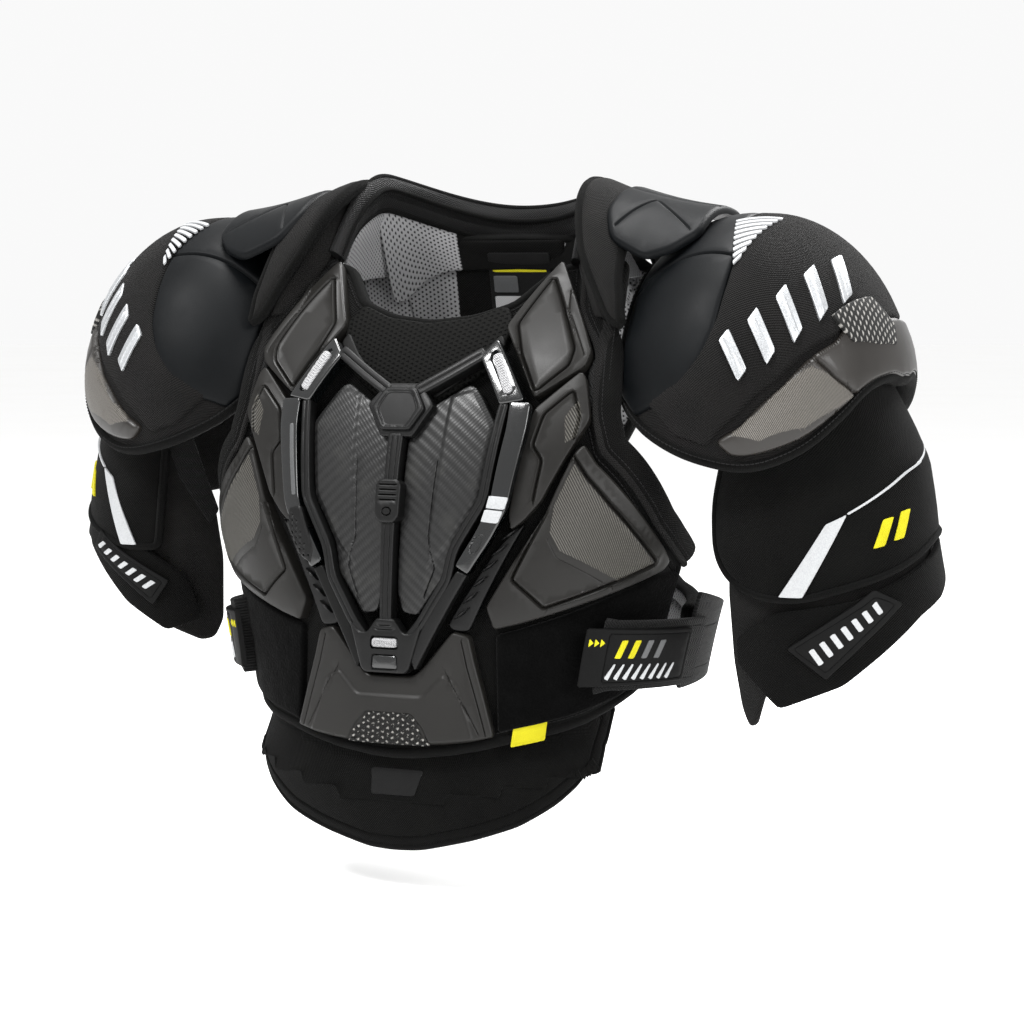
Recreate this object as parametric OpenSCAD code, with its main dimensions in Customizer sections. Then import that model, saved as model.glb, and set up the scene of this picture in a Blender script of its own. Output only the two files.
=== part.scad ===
// Ice hockey shoulder pads, worn size: chest and back panels, shoulder caps,
// upper arm guards, side straps and a belly extension.
// Front of the wearer faces -Y, the wearer's left is +X, up is +Z, millimetres.
// The origin is on the torso centre line at the height of the shoulder rests.

/* [Torso] */
// half width of the front panel curve at the reference height
chest_half_width = 257; // [252:1:262]
// depth of the front panel curve, from the torso centre to its face
chest_depth = 127; // [124:1:131]
// depth of the back panel curve, from the torso centre to its face
back_depth = 118; // [114:1:122]

/* [Padding] */
// thickness of the moulded chest and back pads
pad_thickness = 8.5; // [6:0.5:8.5]
// thickness of the fabric covered foam liners
liner_thickness = 9; // [7:0.5:9]
// slope width round the edge of each moulded pad
pad_bevel = 3; // [1:0.5:3.5]
// how far the rubber frame stands above the pads
frame_height = 8; // [6:0.5:8]
// thickness of the belly extension pad
extension_thickness = 12; // [9:1:12]

/* [Shoulder caps] */
// half length of the cap from front to back
cap_half_length = 114; // [111:1:117]
// height of the cap dome above its widest line
cap_rise = 135; // [132:1:138]
// wall of the cap foam
cap_wall = 13; // [10:1:13]

/* [Arm guards] */
// wall of the upper arm guard foam
guard_wall = 7; // [5:0.5:7]
// front end of the upper arm guard, degrees round the arm from straight out
guard_front = 134; // [126:2:134]

/* [Straps] */
// width of the elastic side straps
strap_width = 48; // [40:2:50]
// thickness of the webbing
webbing_thickness = 3; // [2:0.5:3]

/* [Hidden] */
// clearance between neighbouring layers
layer_gap = 1.5;
// corner fullness of the torso curve, zero is a plain ellipse
fullness = 0.035;
// millimetres round the torso for one degree
arc_scale = 3.2;
// largest cell of the curved grids
coarse = 28;
medium = 14;
fine = 9;

frame_low = layer_gap;
frame_top = frame_height;
badge_low = frame_top + layer_gap;
badge_top = badge_low + 2.5;
liner_top = -pad_thickness - layer_gap;
liner_low = liner_top - liner_thickness;
extension_top = liner_low - 2 * layer_gap;
extension_low = extension_top - extension_thickness;
strap_mid = -285;

eva = [0.30, 0.29, 0.28];
rubber = [0.12, 0.12, 0.13];
cloth = [0.18, 0.18, 0.19];
mesh_grey = [0.62, 0.63, 0.64];
navy = [0.13, 0.15, 0.18];
webbing = [0.08, 0.08, 0.09];
bright = [0.85, 0.82, 0.35];

// ---------- curves of the torso ----------
function across(a) = (sin(a) + fullness * sin(3 * a)) / (1 - fullness);
function forward(a) = (cos(a) - fullness * cos(3 * a)) / (1 - fullness);
function level(z) = (z + 75) / 100;
function front_width(z) = chest_half_width + 58 * level(z) + 8.4 * pow(level(z), 2);
function front_shift(z) =
    40 + 55 * level(z) + 26 * pow(level(z), 2) + 4.35 * pow(level(z), 3);

// q runs round the torso from the centre line, towards the wearer's left in front
front = function(q, z)
    let (a = q / arc_scale)
    [front_width(z) * across(a), front_shift(z) - chest_depth * forward(a), z];

// the belly extension keeps the section of the chest's lower edge, and flares out to the
// chest's face below that edge
lower_front = function(q, z)
    let (
        a = q / arc_scale,
        held = max(z, -345),
        below = lookup(abs(q), chest_hem) - z,
        flare = 14 * min(1, max(0, below / 32))
    )
    [front_width(held) * across(a) + flare * sin(a),
     front_shift(held) - chest_depth * forward(a) - flare * cos(a), z];

// side strap curve, bowed away from the body between its two ends
strap_curve = function(q, z)
    let (a = q / arc_scale, bow = 17 * sin(180 * (q - 150) / 250))
    [front_width(z) * across(a) + bow * sin(a),
     front_shift(z) - chest_depth * forward(a) - bow * cos(a), z];

// q runs from the spine towards the wearer's right on the back
function back_width(z) = 190 - 0.1 * max(0, -200 - z);
function back_rise(z) =
    z > -150 ? 23 * pow((z + 150) / 170, 2) : 10 * pow((z + 150) / 200, 2);
back = function(q, z)
    let (a = q / arc_scale)
    [-back_width(z) * across(a), (back_depth - back_rise(z)) * forward(a), z];

// ---------- curves of the shoulders and arms (wearer's left) ----------
// t runs over the shoulder from the back (negative) to the front, w outwards
yoke = function(t, w)
    let (lateral = w * (20 + 30 * pow(cos(t), 2)))
    [94 + (t > 0 ? 46 : 24) * (1 - cos(t)) + lateral,
     15 - (t > 0 ? 78 : 97) * sin(t),
     -62 + (105 - 22 * w) * cos(t)];

// the collar bone flap, bridging from the yoke to the top of the cap
flap = function(x, y)
    let (out = x - 108, along = y - 15)
    [x, y, 48 - 0.45 * out + 0.0022 * pow(out, 2)
        - (along < 0 ? 0.0085 : 0.005) * pow(along, 2)];

// m runs outwards over the cap, n from front (negative) over the top to the back
cap_centre = [222, 24, -110];
cap_half_width = 110;
cap = function(m, n)
    cap_centre + [cap_half_width * sin(m),
                  cap_half_length * cos(m) * sin(n),
                  cap_rise * cos(m) * cos(n)];

// p runs round the arm from straight out, negative towards the front
function arm_drop(z) = min(-z - 90, 155);
function arm_below(z) = max(0, -z - 245);
arm = function(p, z)
    [250 + 0.1 * arm_drop(z) + (64 + 0.09 * arm_drop(z) - 0.1 * arm_below(z)) * cos(p),
     25 + (74 + 0.04 * arm_drop(z) - 0.1 * arm_below(z)) * sin(p), z];

// ---------- solids laid on a curve ----------
function mix(a, b, t) = a + (b - a) * t;

// the point h millimetres above the surface s at (u, v)
function raised(s, u, v, h) =
    let (
        e = 0.05,
        n = cross(s(u + e, v) - s(u - e, v), s(u, v + e) - s(u, v - e))
    )
    s(u, v) + n * h / norm(n);

// the keys with steps no longer than the cell between them
function spread(keys, cell) = concat([keys[0]], [
    for (i = [1 : len(keys) - 1])
        let (span = keys[i] - keys[i - 1], n = ceil(abs(span) / cell))
        for (k = [1 : n]) keys[i - 1] + span * k / n
]);

function firsts(table) = [for (row = table) row[0]];

// a closed solid between two grids of points, [column][row]
module shell(low, top) {
    nu = len(low) - 1;
    nv = len(low[0]) - 1;
    count = (nu + 1) * (nv + 1);
    points = concat([for (c = low) each c], [for (c = top) each c]);
    function at(k, i, j) = k * count + i * (nv + 1) + j;
    function wall(i, j, k, l) = [
        [at(1, i, j), at(1, k, l), at(0, k, l)],
        [at(1, i, j), at(0, k, l), at(0, i, j)]
    ];
    faces = concat(
        [for (i = [0 : nu - 1]) for (j = [0 : nv - 1]) each [
            [at(1, i, j), at(1, i, j + 1), at(1, i + 1, j + 1)],
            [at(1, i, j), at(1, i + 1, j + 1), at(1, i + 1, j)],
            [at(0, i, j), at(0, i + 1, j + 1), at(0, i, j + 1)],
            [at(0, i, j), at(0, i + 1, j), at(0, i + 1, j + 1)]
        ]],
        [for (i = [0 : nu - 1]) each wall(i, 0, i + 1, 0)],
        [for (i = [0 : nu - 1]) each wall(i + 1, nv, i, nv)],
        [for (j = [0 : nv - 1]) each wall(0, j + 1, 0, j)],
        [for (j = [0 : nv - 1]) each wall(nu, j, nu, j + 1)]
    );
    polyhedron(points = points, faces = faces, convexity = 10);
}

// a pad on surface s between two outlines given as [u, v] tables
module pad(s, bottom, top, low, high, cell = medium, bevel = 0) {
    u0 = bottom[0][0];
    u1 = bottom[len(bottom) - 1][0];
    middle = (u0 + u1) / 2;
    shrink = 1 - 2 * bevel / (u1 - u0);
    us = spread(firsts(len(bottom) > len(top) ? bottom : top), cell);
    tallest = max([for (u = us) lookup(u, top) - lookup(u, bottom)]);
    nv = max(2, ceil(tallest / cell));
    function column(u, h, b) =
        let (
            v0 = lookup(u, bottom),
            v1 = lookup(u, top),
            edge = min(b, (v1 - v0) / 3),
            x = b > 0 ? middle + (u - middle) * shrink : u
        )
        [for (j = [0 : nv]) raised(s, x, mix(v0 + edge, v1 - edge, j / nv), h)];
    shell([for (u = us) column(u, low, 0)], [for (u = us) column(u, high, bevel)]);
}

// a band of even width along a path of [u, v] points on surface s
module band(s, path, width, low, high, cell = fine) {
    last = len(path) - 1;
    function heading(i) =
        let (d = path[min(i + 1, last)] - path[max(i - 1, 0)]) d / norm(d);
    stations = [
        for (i = [0 : last - 1])
            let (n = ceil(norm(path[i + 1] - path[i]) / cell))
            for (k = [0 : n - 1])
                [mix(path[i], path[i + 1], k / n), mix(heading(i), heading(i + 1), k / n)],
        [path[last], heading(last)]
    ];
    function side(st, w) = st[0] + [st[1][1], -st[1][0]] * w;
    function column(st, h) = [
        for (k = [1, 0, -1]) let (p = side(st, k * width / 2)) raised(s, p[0], p[1], h)
    ];
    low_grid = [for (st = stations) column(st, low)];
    high_grid = [for (st = stations) column(st, high)];
    shell(low_grid, high_grid);
}

// a round roll along a path of points
module roll(path, radius, sides = 10) {
    last = len(path) - 1;
    function heading(i) =
        let (d = path[min(i + 1, last)] - path[max(i - 1, 0)]) d / norm(d);
    rings = [
        for (i = [0 : last])
            let (
                t = heading(i),
                a = cross([0, 0, 1], t) / norm(cross([0, 0, 1], t)),
                b = cross(t, a)
            )
            for (k = [0 : sides - 1])
                path[i] + radius * (a * cos(360 * k / sides) + b * sin(360 * k / sides))
    ];
    faces = concat(
        [for (i = [0 : last - 1]) for (k = [0 : sides - 1])
            let (n = (k + 1) % sides)
            [i * sides + k, (i + 1) * sides + k, (i + 1) * sides + n, i * sides + n]],
        [[for (k = [0 : sides - 1]) k]],
        [[for (k = [sides - 1 : -1 : 0]) last * sides + k]]
    );
    polyhedron(points = rings, faces = faces, convexity = 6);
}

module other_side() {
    mirror([1, 0, 0]) children();
}

// the same outline on both sides of the centre line
function both_ways(table) = concat(
    [for (i = [len(table) - 1 : -1 : 0]) if (table[i][0] > 0) [-table[i][0], table[i][1]]],
    table
);

// ---------- back ----------
back_top = both_ways([[0, 14], [60, 13], [70, 10], [72, -150], [84, -200], [100, -228],
    [146, -250], [174, -254], [202, -257], [232, -260], [262, -262]]);
back_bottom = both_ways([[0, -330], [60, -330], [70, -330], [72, -330], [84, -329], [100, -328],
    [146, -321], [174, -316], [202, -312], [232, -307], [262, -300]]);

module back_liner() {
    color(mesh_grey) pad(back, back_bottom, back_top, -18, -8, coarse);
}

module spine_plate() {
    color(cloth) pad(back, [[-34, -290], [-22, -312], [22, -312], [34, -290]],
        [[-34, -60], [-22, -26], [22, -26], [34, -60]], -6.5, 3, coarse, pad_bevel);
}

module back_shoulder_pad_right() {
    color(cloth) pad(back, [[74, -142], [92, -128], [110, -110], [126, -88], [144, -54]],
        [[74, 2], [92, -22], [110, -37], [126, -40], [144, -42]], -18, 1.5, medium, pad_bevel);
}

module back_shoulder_pad_left() {
    other_side() back_shoulder_pad_right();
}

module lower_back_pad_right() {
    color(cloth) pad(back, [[40, -314], [66, -318], [112, -304]],
        [[40, -186], [66, -204], [112, -250]], -6.5, 1.5, coarse, pad_bevel);
}

module lower_back_pad_left() {
    other_side() lower_back_pad_right();
}

module collar_roll() {
    path = [
        for (s = [-108 : 6 : 108])
            let (dip = 34 * pow(max(0, abs(s) - 70) / 42, 2))
            [85 * sign(s) * sin(min(abs(s), 90)), 12 + 80 * cos(s), 23 + 21 * pow(sin(s), 2) - dip]
    ];
    color(rubber) roll(path, 7.5);
}

module size_label() {
    color(webbing) pad(back, [[-22, -46], [22, -46]], [[-22, 4], [22, 4]], -20.5, -19.5, medium);
}

module yoke_left() {
    color(cloth) pad(yoke, [[-66, 0], [0, 0], [84, 0]], [[-66, 1], [0, 1], [84, 1]],
        -6, 6, 8);
}

module yoke_right() {
    other_side() yoke_left();
}

module side_strap_left() {
    color(webbing) pad(strap_curve, [[276, strap_mid - strap_width / 2], [398, strap_mid - 20]],
        [[276, strap_mid + strap_width / 2], [398, strap_mid + 20]],
        2, 2 + webbing_thickness, medium);
}

module side_strap_right() {
    other_side() side_strap_left();
}

// ---------- chest ----------
chest_top = both_ways([[0, -48], [20, -44], [36, -34], [47, -8], [57, -4], [70, -42],
    [90, -70], [106, -116], [122, -142], [146, -158], [174, -178], [202, -198], [232, -214],
    [262, -228]]);
chest_bottom = both_ways([[0, -358], [20, -357], [36, -355], [47, -354], [57, -352],
    [70, -350], [90, -346], [106, -343], [122, -341], [146, -338], [174, -333], [202, -326],
    [232, -317], [262, -306]]);

// height of the chest's lower edge against the distance round from the centre line
chest_hem = [for (row = chest_bottom) if (row[0] >= 0) row];

module chest_liner() {
    color(cloth) pad(front, chest_bottom, chest_top, liner_low, liner_top, coarse);
}

module neck_mesh() {
    color(mesh_grey) pad(front, [[-38, -76], [-10, -99], [10, -99], [38, -76]],
        [[-38, -42], [-10, -50], [10, -50], [38, -42]],
        liner_top + 1, liner_top + 5, medium, 1);
}

module upper_chest_pad_left() {
    color(eva) pad(front, [[41, -60], [51, -77], [68, -105], [88, -83], [90, -80]],
        [[41, -54], [49, -8], [54, -12], [68, -40], [90, -74]],
        -pad_thickness, 0, fine, pad_bevel);
}

module upper_chest_pad_right() {
    other_side() upper_chest_pad_left();
}

module mid_chest_pad_left() {
    color(eva) pad(front, [[71, -124], [77, -145], [85, -151], [88, -178], [94, -168], [105, -128]],
        [[71, -117], [77, -107], [85, -96], [90, -88], [94, -94], [105, -120]],
        -pad_thickness, 0, fine, pad_bevel);
}

module mid_chest_pad_right() {
    other_side() mid_chest_pad_left();
}

module side_chest_pad_left() {
    color(eva) pad(front, [[66, -257], [75, -268], [92, -264], [107, -260], [222, -228], [226, -226]],
        [[66, -251], [92, -196], [96, -186], [107, -142], [122, -152], [144, -167],
         [172, -186], [190, -199], [215, -214], [226, -222]],
        -pad_thickness, 0, medium, pad_bevel);
}

module side_chest_pad_right() {
    other_side() side_chest_pad_left();
}

module sternum_base_pad() {
    top_edge = both_ways([[0, -302], [16, -302], [24, -296], [46, -270], [58, -273],
        [64, -292], [82, -341]]);
    bottom_edge = both_ways([[0, -354], [16, -354], [24, -353], [46, -351], [58, -350],
        [64, -349], [82, -347]]);
    color(eva) pad(front, bottom_edge, top_edge, -pad_thickness, 0, medium, pad_bevel);
}

module frame_half() {
    band(front, [[8, -106], [20, -94], [31, -83]], 8, frame_low, frame_top);
    band(front, [[52, -122], [54, -150], [53, -176], [40, -212], [37, -233], [22, -262],
        [13, -282]], 8, frame_low, frame_top);
}

module chest_frame() {
    color(rubber) union() {
        frame_half();
        other_side() frame_half();
        band(front, [[0, -128], [0, -276]], 8, frame_low, frame_top, 16);
        pad(front, [[-15, -300], [15, -300]], [[-15, -271], [15, -271]],
            frame_low, frame_top, fine, 1);
        pad(front, [[-15, -118], [-8, -132], [8, -132], [15, -118]],
            [[-15, -114], [-8, -101], [8, -101], [15, -114]], frame_low, frame_top, fine, 1);
    }
}

module composite_plate_left() {
    color(rubber) pad(front,
        [[5, -242], [9, -258], [20, -260], [36, -231], [39, -210], [53, -177]],
        [[5, -134], [9, -131], [14, -113], [30, -98], [36, -97], [39, -102], [53, -124]],
        -pad_thickness, 0, fine, 1.5);
}

module composite_plate_right() {
    other_side() composite_plate_left();
}

module flank_strip_left() {
    color(webbing) union() {
        band(front, [[40, -74], [50, -92], [62, -112]], 15, frame_low, frame_top);
        band(front, [[62, -110], [67, -128], [68, -182], [58, -212], [42, -246], [26, -280]],
            11, frame_low, frame_top);
    }
}

module flank_strip_right() {
    other_side() flank_strip_left();
}

module rib_pad_left() {
    rib_count = 6;
    color(rubber) union() {
        band(front, [[76, -196], [49, -258]], 12, -pad_thickness, -1);
        for (k = [0 : rib_count - 1])
            let (t = k / (rib_count - 1), p = mix([74, -203], [51, -254], t))
            band(front, [p + [6.5, 4], p - [6.5, 4]], 4, -1.4, 0.8);
    }
}

module rib_pad_right() {
    other_side() rib_pad_left();
}

module loop_panel_left() {
    color(webbing) pad(front, [[85, -343], [108, -339], [144, -334], [190, -325], [258, -304]],
        [[85, -269], [108, -263], [144, -253], [190, -241], [258, -236]],
        -pad_thickness, -5, medium);
}

module loop_panel_right() {
    other_side() loop_panel_left();
}

module lace_bars() {
    color(mesh_grey) union() {
        for (side = [0, 1])
            mirror([side, 0, 0])
            band(front, [[43, -80], [50, -92], [58, -105]], 6, badge_low, badge_low + 4);
        band(front, [[-9, -279], [9, -279]], 7, badge_low, badge_low + 3, 6);
    }
}

module hex_badge() {
    color(rubber) pad(front, [[-13, -117], [-7, -129], [7, -129], [13, -117]],
        [[-13, -115], [-7, -103], [7, -103], [13, -115]], badge_low, badge_top, fine, 1);
}

module spine_clip() {
    color(rubber) pad(front, [[-7, -190], [-5, -193], [5, -193], [7, -190]],
        [[-7, -168], [-5, -165], [5, -165], [7, -168]], badge_low, badge_top, fine, 1);
}

module size_tab() {
    color(bright) pad(front, [[98, -356], [130, -350]], [[98, -346.5], [130, -342.5]],
        liner_top + 1, liner_top + 3, medium);
}

// ---------- belly extension ----------
module extension_pad() {
    top_edge = both_ways([[0, -322], [40, -322], [100, -320], [150, -316], [180, -312],
        [204, -307], [222, -302]]);
    bottom_edge = both_ways([[0, -430], [40, -426], [100, -408], [150, -388], [180, -372],
        [204, -345], [222, -318]]);
    color(cloth) pad(lower_front, bottom_edge, top_edge, extension_low, extension_top,
        coarse, 2);
}

// ---------- side strap ends ----------
module strap_tab_left() {
    color(webbing) pad(strap_curve, [[170, -313], [178, -309], [265, strap_mid - strap_width / 2]],
        [[170, -259], [178, -261], [265, strap_mid + strap_width / 2]],
        2, 2 + webbing_thickness, medium);
}

module strap_tab_right() {
    other_side() strap_tab_left();
}

module strap_patch_left() {
    color(rubber) pad(strap_curve, [[152, -307], [246, -304]], [[152, -264], [246, -266]],
        6.5, 9.5, medium, 1);
}

module strap_patch_right() {
    other_side() strap_patch_left();
}

// ---------- collar bone flap ----------
module clavicle_flap_left() {
    color(navy) pad(flap, [[124, -30], [134, -46], [165, -52], [184, -44], [198, -30]],
        [[124, 36], [134, 46], [165, 52], [184, 52], [198, 46]], 0, 7, medium, 2);
}

module clavicle_flap_right() {
    other_side() clavicle_flap_left();
}

// ---------- shoulder cap ----------
rim_front = [[-42, -88], [-30, -98], [-10, -105], [19, -111], [41, -106], [55, -95], [63, -83],
    [74, -64], [83, -30]];
rim_back = [[-42, 88], [-30, 97], [-10, 100], [19, 104], [41, 100], [55, 92], [63, 83],
    [74, 64], [83, 30]];
function inset(table, d) = [for (row = table) [row[0], row[1] + d]];

module shoulder_cap_left() {
    color(navy) pad(cap, rim_front, rim_back, -cap_wall, 0, medium, 1);
}

module shoulder_cap_right() {
    other_side() shoulder_cap_left();
}

module cap_liner_left() {
    color(cloth) pad(cap,
        [for (row = inset(rim_front, 18)) if (row[0] < 62) row],
        [for (row = inset(rim_back, -18)) if (row[0] < 62) row],
        -cap_wall - 5, -cap_wall - 1.5, coarse);
}

module cap_liner_right() {
    other_side() cap_liner_left();
}

module cap_band_left() {
    color(cloth) pad(cap, [[-6, -96], [19, -100], [41, -84], [62, -58]],
        [[-6, -58], [19, -48], [41, -34], [62, -26]], layer_gap, 4, medium, 1);
}

module cap_band_right() {
    other_side() cap_band_left();
}

module cap_rim_guard_left() {
    color(eva) pad(cap, [[45, -99], [55, -90], [63, -78], [74, -56], [80, -34]],
        [[45, -86], [55, -72], [63, -54], [74, -12], [80, 20]], layer_gap, 6, fine, 1.5);
}

module cap_rim_guard_right() {
    other_side() cap_rim_guard_left();
}

// ---------- upper arm guard ----------
guard_bottom = [[-guard_front, -214], [-120, -232], [-100, -243], [-80, -244], [-40, -226],
    [0, -202], [60, -192], [100, -188]];
guard_top = [[-guard_front, -182], [-120, -144], [-100, -112], [-80, -98], [-40, -92],
    [0, -90], [60, -92], [100, -104]];

module arm_guard_left() {
    color(cloth) pad(arm, guard_bottom, guard_top, -guard_wall, 0, medium, 2);
}

module arm_guard_right() {
    other_side() arm_guard_left();
}

module arm_liner_left() {
    color(mesh_grey) pad(arm, [[-127, -292], [-120, -340], [-112, -336], [-100, -304],
        [-70, -262], [-30, -222], [10, -205], [96, -190]],
        [[-127, -190], [-112, -140], [-100, -122], [-70, -108], [-30, -100], [10, -98],
         [96, -108]],
        -guard_wall - 6.5, -guard_wall - 1.5, coarse);
}

module arm_liner_right() {
    other_side() arm_liner_left();
}

module arm_strap_left() {
    color(webbing) pad(arm, [[-118, -292], [-90, -322], [-60, -304], [-20, -256], [20, -228]],
        [[-118, -272], [-90, -252], [-60, -244], [-20, -222], [20, -203]],
        -5, -1, medium);
}

module arm_strap_right() {
    other_side() arm_strap_left();
}

module arm_patch_left() {
    color(rubber) pad(arm, [[-94, -308], [-34, -266]], [[-94, -268], [-34, -238]],
        0.5, 2.5, medium, 0.5);
}

module arm_patch_right() {
    other_side() arm_patch_left();
}

back_liner();
spine_plate();
back_shoulder_pad_left();
back_shoulder_pad_right();
lower_back_pad_left();
lower_back_pad_right();
collar_roll();
yoke_left();
yoke_right();
side_strap_left();
side_strap_right();
size_label();
chest_liner();
neck_mesh();
upper_chest_pad_left();
upper_chest_pad_right();
mid_chest_pad_left();
mid_chest_pad_right();
side_chest_pad_left();
side_chest_pad_right();
sternum_base_pad();
chest_frame();
composite_plate_left();
composite_plate_right();
flank_strip_left();
flank_strip_right();
rib_pad_left();
rib_pad_right();
loop_panel_left();
loop_panel_right();
lace_bars();
hex_badge();
spine_clip();
size_tab();
extension_pad();
strap_tab_left();
strap_tab_right();
strap_patch_left();
strap_patch_right();
clavicle_flap_left();
clavicle_flap_right();
shoulder_cap_left();
shoulder_cap_right();
cap_liner_left();
cap_liner_right();
cap_band_left();
cap_band_right();
cap_rim_guard_left();
cap_rim_guard_right();
arm_guard_left();
arm_guard_right();
arm_liner_left();
arm_liner_right();
arm_strap_left();
arm_strap_right();
arm_patch_left();
arm_patch_right();
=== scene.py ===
import math

import bmesh
import bpy
import numpy as np
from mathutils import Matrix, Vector
from mathutils.geometry import delaunay_2d_cdt


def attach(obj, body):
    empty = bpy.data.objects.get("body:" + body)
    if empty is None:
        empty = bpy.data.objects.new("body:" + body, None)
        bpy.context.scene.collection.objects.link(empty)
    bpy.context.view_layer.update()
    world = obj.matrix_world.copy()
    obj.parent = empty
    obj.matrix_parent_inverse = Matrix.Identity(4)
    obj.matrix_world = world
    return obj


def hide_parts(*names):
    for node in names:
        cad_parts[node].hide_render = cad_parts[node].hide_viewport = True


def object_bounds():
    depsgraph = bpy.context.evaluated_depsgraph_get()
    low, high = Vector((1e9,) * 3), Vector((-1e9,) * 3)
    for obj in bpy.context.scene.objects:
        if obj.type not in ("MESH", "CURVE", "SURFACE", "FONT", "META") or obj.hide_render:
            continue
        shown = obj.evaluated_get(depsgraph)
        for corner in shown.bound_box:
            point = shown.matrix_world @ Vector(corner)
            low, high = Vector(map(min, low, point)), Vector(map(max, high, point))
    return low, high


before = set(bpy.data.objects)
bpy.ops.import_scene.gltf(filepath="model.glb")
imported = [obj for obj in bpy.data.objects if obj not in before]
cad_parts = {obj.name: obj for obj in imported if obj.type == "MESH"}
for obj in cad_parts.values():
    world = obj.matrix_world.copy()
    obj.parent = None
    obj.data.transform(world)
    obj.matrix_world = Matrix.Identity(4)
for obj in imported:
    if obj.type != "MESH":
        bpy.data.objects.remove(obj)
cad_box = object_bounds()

# Lengths on the object are in millimetres, as in the design, and become metres in new_object().
MM = 0.001
SIDES = (("left", 1), ("right", -1))

# ---------- the design's driving dimensions ----------
CHEST_HALF_WIDTH = 257.0
CHEST_DEPTH = 127.0
BACK_DEPTH = 118.0
FULLNESS = 0.035
ARC_SCALE = 3.2
PAD_LOW = -10.0
LINER_LOW = -19.0
FRAME_LOW = -2.0
EXTENSION_TOP = -22.0
EXTENSION_LOW = -34.0
CAP_CENTRE = (222.0, 24.0, -110.0)
CAP_HALF_WIDTH = 110.0
CAP_HALF_LENGTH = 114.0
CAP_RISE = 135.0
CAP_WALL = 13.0
GUARD_WALL = 7.0
GUARD_FRONT = 134.0


# ---------- surfaces ----------
def across(a):
    return (np.sin(a) + FULLNESS * np.sin(3 * a)) / (1 - FULLNESS)


def forward(a):
    return (np.cos(a) - FULLNESS * np.cos(3 * a)) / (1 - FULLNESS)


def front_size(z):
    """Half width and centre of the front curve at height z."""
    g = (z + 75) / 100
    return (
        CHEST_HALF_WIDTH + 58 * g + 8.4 * g**2,
        40 + 55 * g + 26 * g**2 + 4.35 * g**3,
    )


def front_point(q, z, held=None, out=0.0):
    a = np.radians(q / ARC_SCALE)
    width, shift = front_size(z if held is None else held)
    return np.stack(
        [width * across(a) + out * np.sin(a), shift - CHEST_DEPTH * forward(a) - out * np.cos(a), z], -1
    )


def belly_point(q, z):
    hem = np.interp(np.abs(q), *np.array(CHEST_HEM).T)
    return front_point(q, z, np.maximum(z, -345), 14 * np.clip((hem - z) / 32, 0, 1))


def strap_point(q, z, bow=17):
    return front_point(q, z, out=bow * np.sin(np.pi * (q - 150) / 250))


def back_point(q, z):
    a = np.radians(q / ARC_SCALE)
    width = 190 - 0.1 * np.maximum(0, -200 - z)
    rise = np.where(z > -150, 23 * ((z + 150) / 170) ** 2, 10 * ((z + 150) / 200) ** 2)
    return np.stack([-width * across(a), (BACK_DEPTH - rise) * forward(a), z], -1)


def yoke_point(t, w):
    t = np.radians(t)
    lateral = w * (20 + 30 * np.cos(t) ** 2)
    return np.stack(
        [
            94 + np.where(t > 0, 46, 24) * (1 - np.cos(t)) + lateral,
            15 - np.where(t > 0, 78, 97) * np.sin(t),
            -62 + (105 - 22 * w) * np.cos(t),
        ],
        -1,
    )


def flap_point(x, y):
    out, along = x - 108, y - 15
    drop = np.where(along < 0, 0.0085, 0.005) * along**2
    return np.stack([x, y, 48 - 0.45 * out + 0.0022 * out**2 - drop], -1)


def cap_point(m, n):
    m, n = np.radians(m), np.radians(n)
    return np.array(CAP_CENTRE) + np.stack(
        [
            CAP_HALF_WIDTH * np.sin(m),
            CAP_HALF_LENGTH * np.cos(m) * np.sin(n),
            CAP_RISE * np.cos(m) * np.cos(n),
        ],
        -1,
    )


def arm_point(p, z, wide=0.0, turn=0.0, rise=0.0):
    p = np.radians(p - turn)
    drop, below = np.minimum(-z - 90, 155), np.maximum(0, -z - 245)
    reach = wide * np.clip(drop / 60, 0, 1) * np.maximum(0, np.cos(p))
    z = z + rise * np.clip(drop / 80, 0, 1)
    return np.stack(
        [
            250 + 0.1 * drop + reach + (64 + 0.09 * drop - 0.1 * below) * np.cos(p),
            25 + (74 + 0.04 * drop - 0.1 * below) * np.sin(p),
            z,
        ],
        -1,
    )


class Surface:
    """A curved sheet with coordinates (u, v), and a flat chart of it in millimetres for outlines."""

    def __init__(self, at, per_u=1.0, per_v=1.0, shrink=None):
        self.at, self.per_u, self.per_v = at, per_u, per_v
        self.shrink = shrink or (lambda u: np.ones_like(u))

    def chart(self, points):
        p = np.array(points, float)
        return np.stack([p[:, 0] * self.per_u, p[:, 1] * self.per_v * self.shrink(p[:, 0])], -1)

    def base(self, xy):
        u = xy[:, 0] / self.per_u
        return self.at(u, xy[:, 1] / self.per_v / self.shrink(u))

    def slopes(self, xy):
        step = 0.05
        ex, ey = np.array([step, 0]), np.array([0, step])
        dx = (self.base(xy + ex) - self.base(xy - ex)) / (2 * step)
        dy = (self.base(xy + ey) - self.base(xy - ey)) / (2 * step)
        n = np.cross(dx, dy)
        return dx, dy, n / np.linalg.norm(n, axis=1)[:, None]

    def lift(self, xy, h):
        return self.base(xy) + self.slopes(xy)[2] * np.reshape(h, (-1, 1))

    def shifted(self, xy, closed, d):
        """A chart line moved d millimetres to its left along the surface."""
        if closed:
            along = np.roll(xy, -1, 0) - np.roll(xy, 1, 0)
        else:
            along = np.gradient(xy, axis=0)
        dx, dy, n = self.slopes(xy)
        t = dx * along[:, :1] + dy * along[:, 1:]
        s = np.cross(n, t)
        s *= d / np.maximum(np.linalg.norm(s, axis=1), 1e-9)[:, None]
        xx, xy_, yy = (dx * dx).sum(1), (dx * dy).sum(1), (dy * dy).sum(1)
        sx, sy = (s * dx).sum(1), (s * dy).sum(1)
        det = xx * yy - xy_**2
        return xy + np.stack([(sx * yy - sy * xy_) / det, (sy * xx - sx * xy_) / det], -1)


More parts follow.
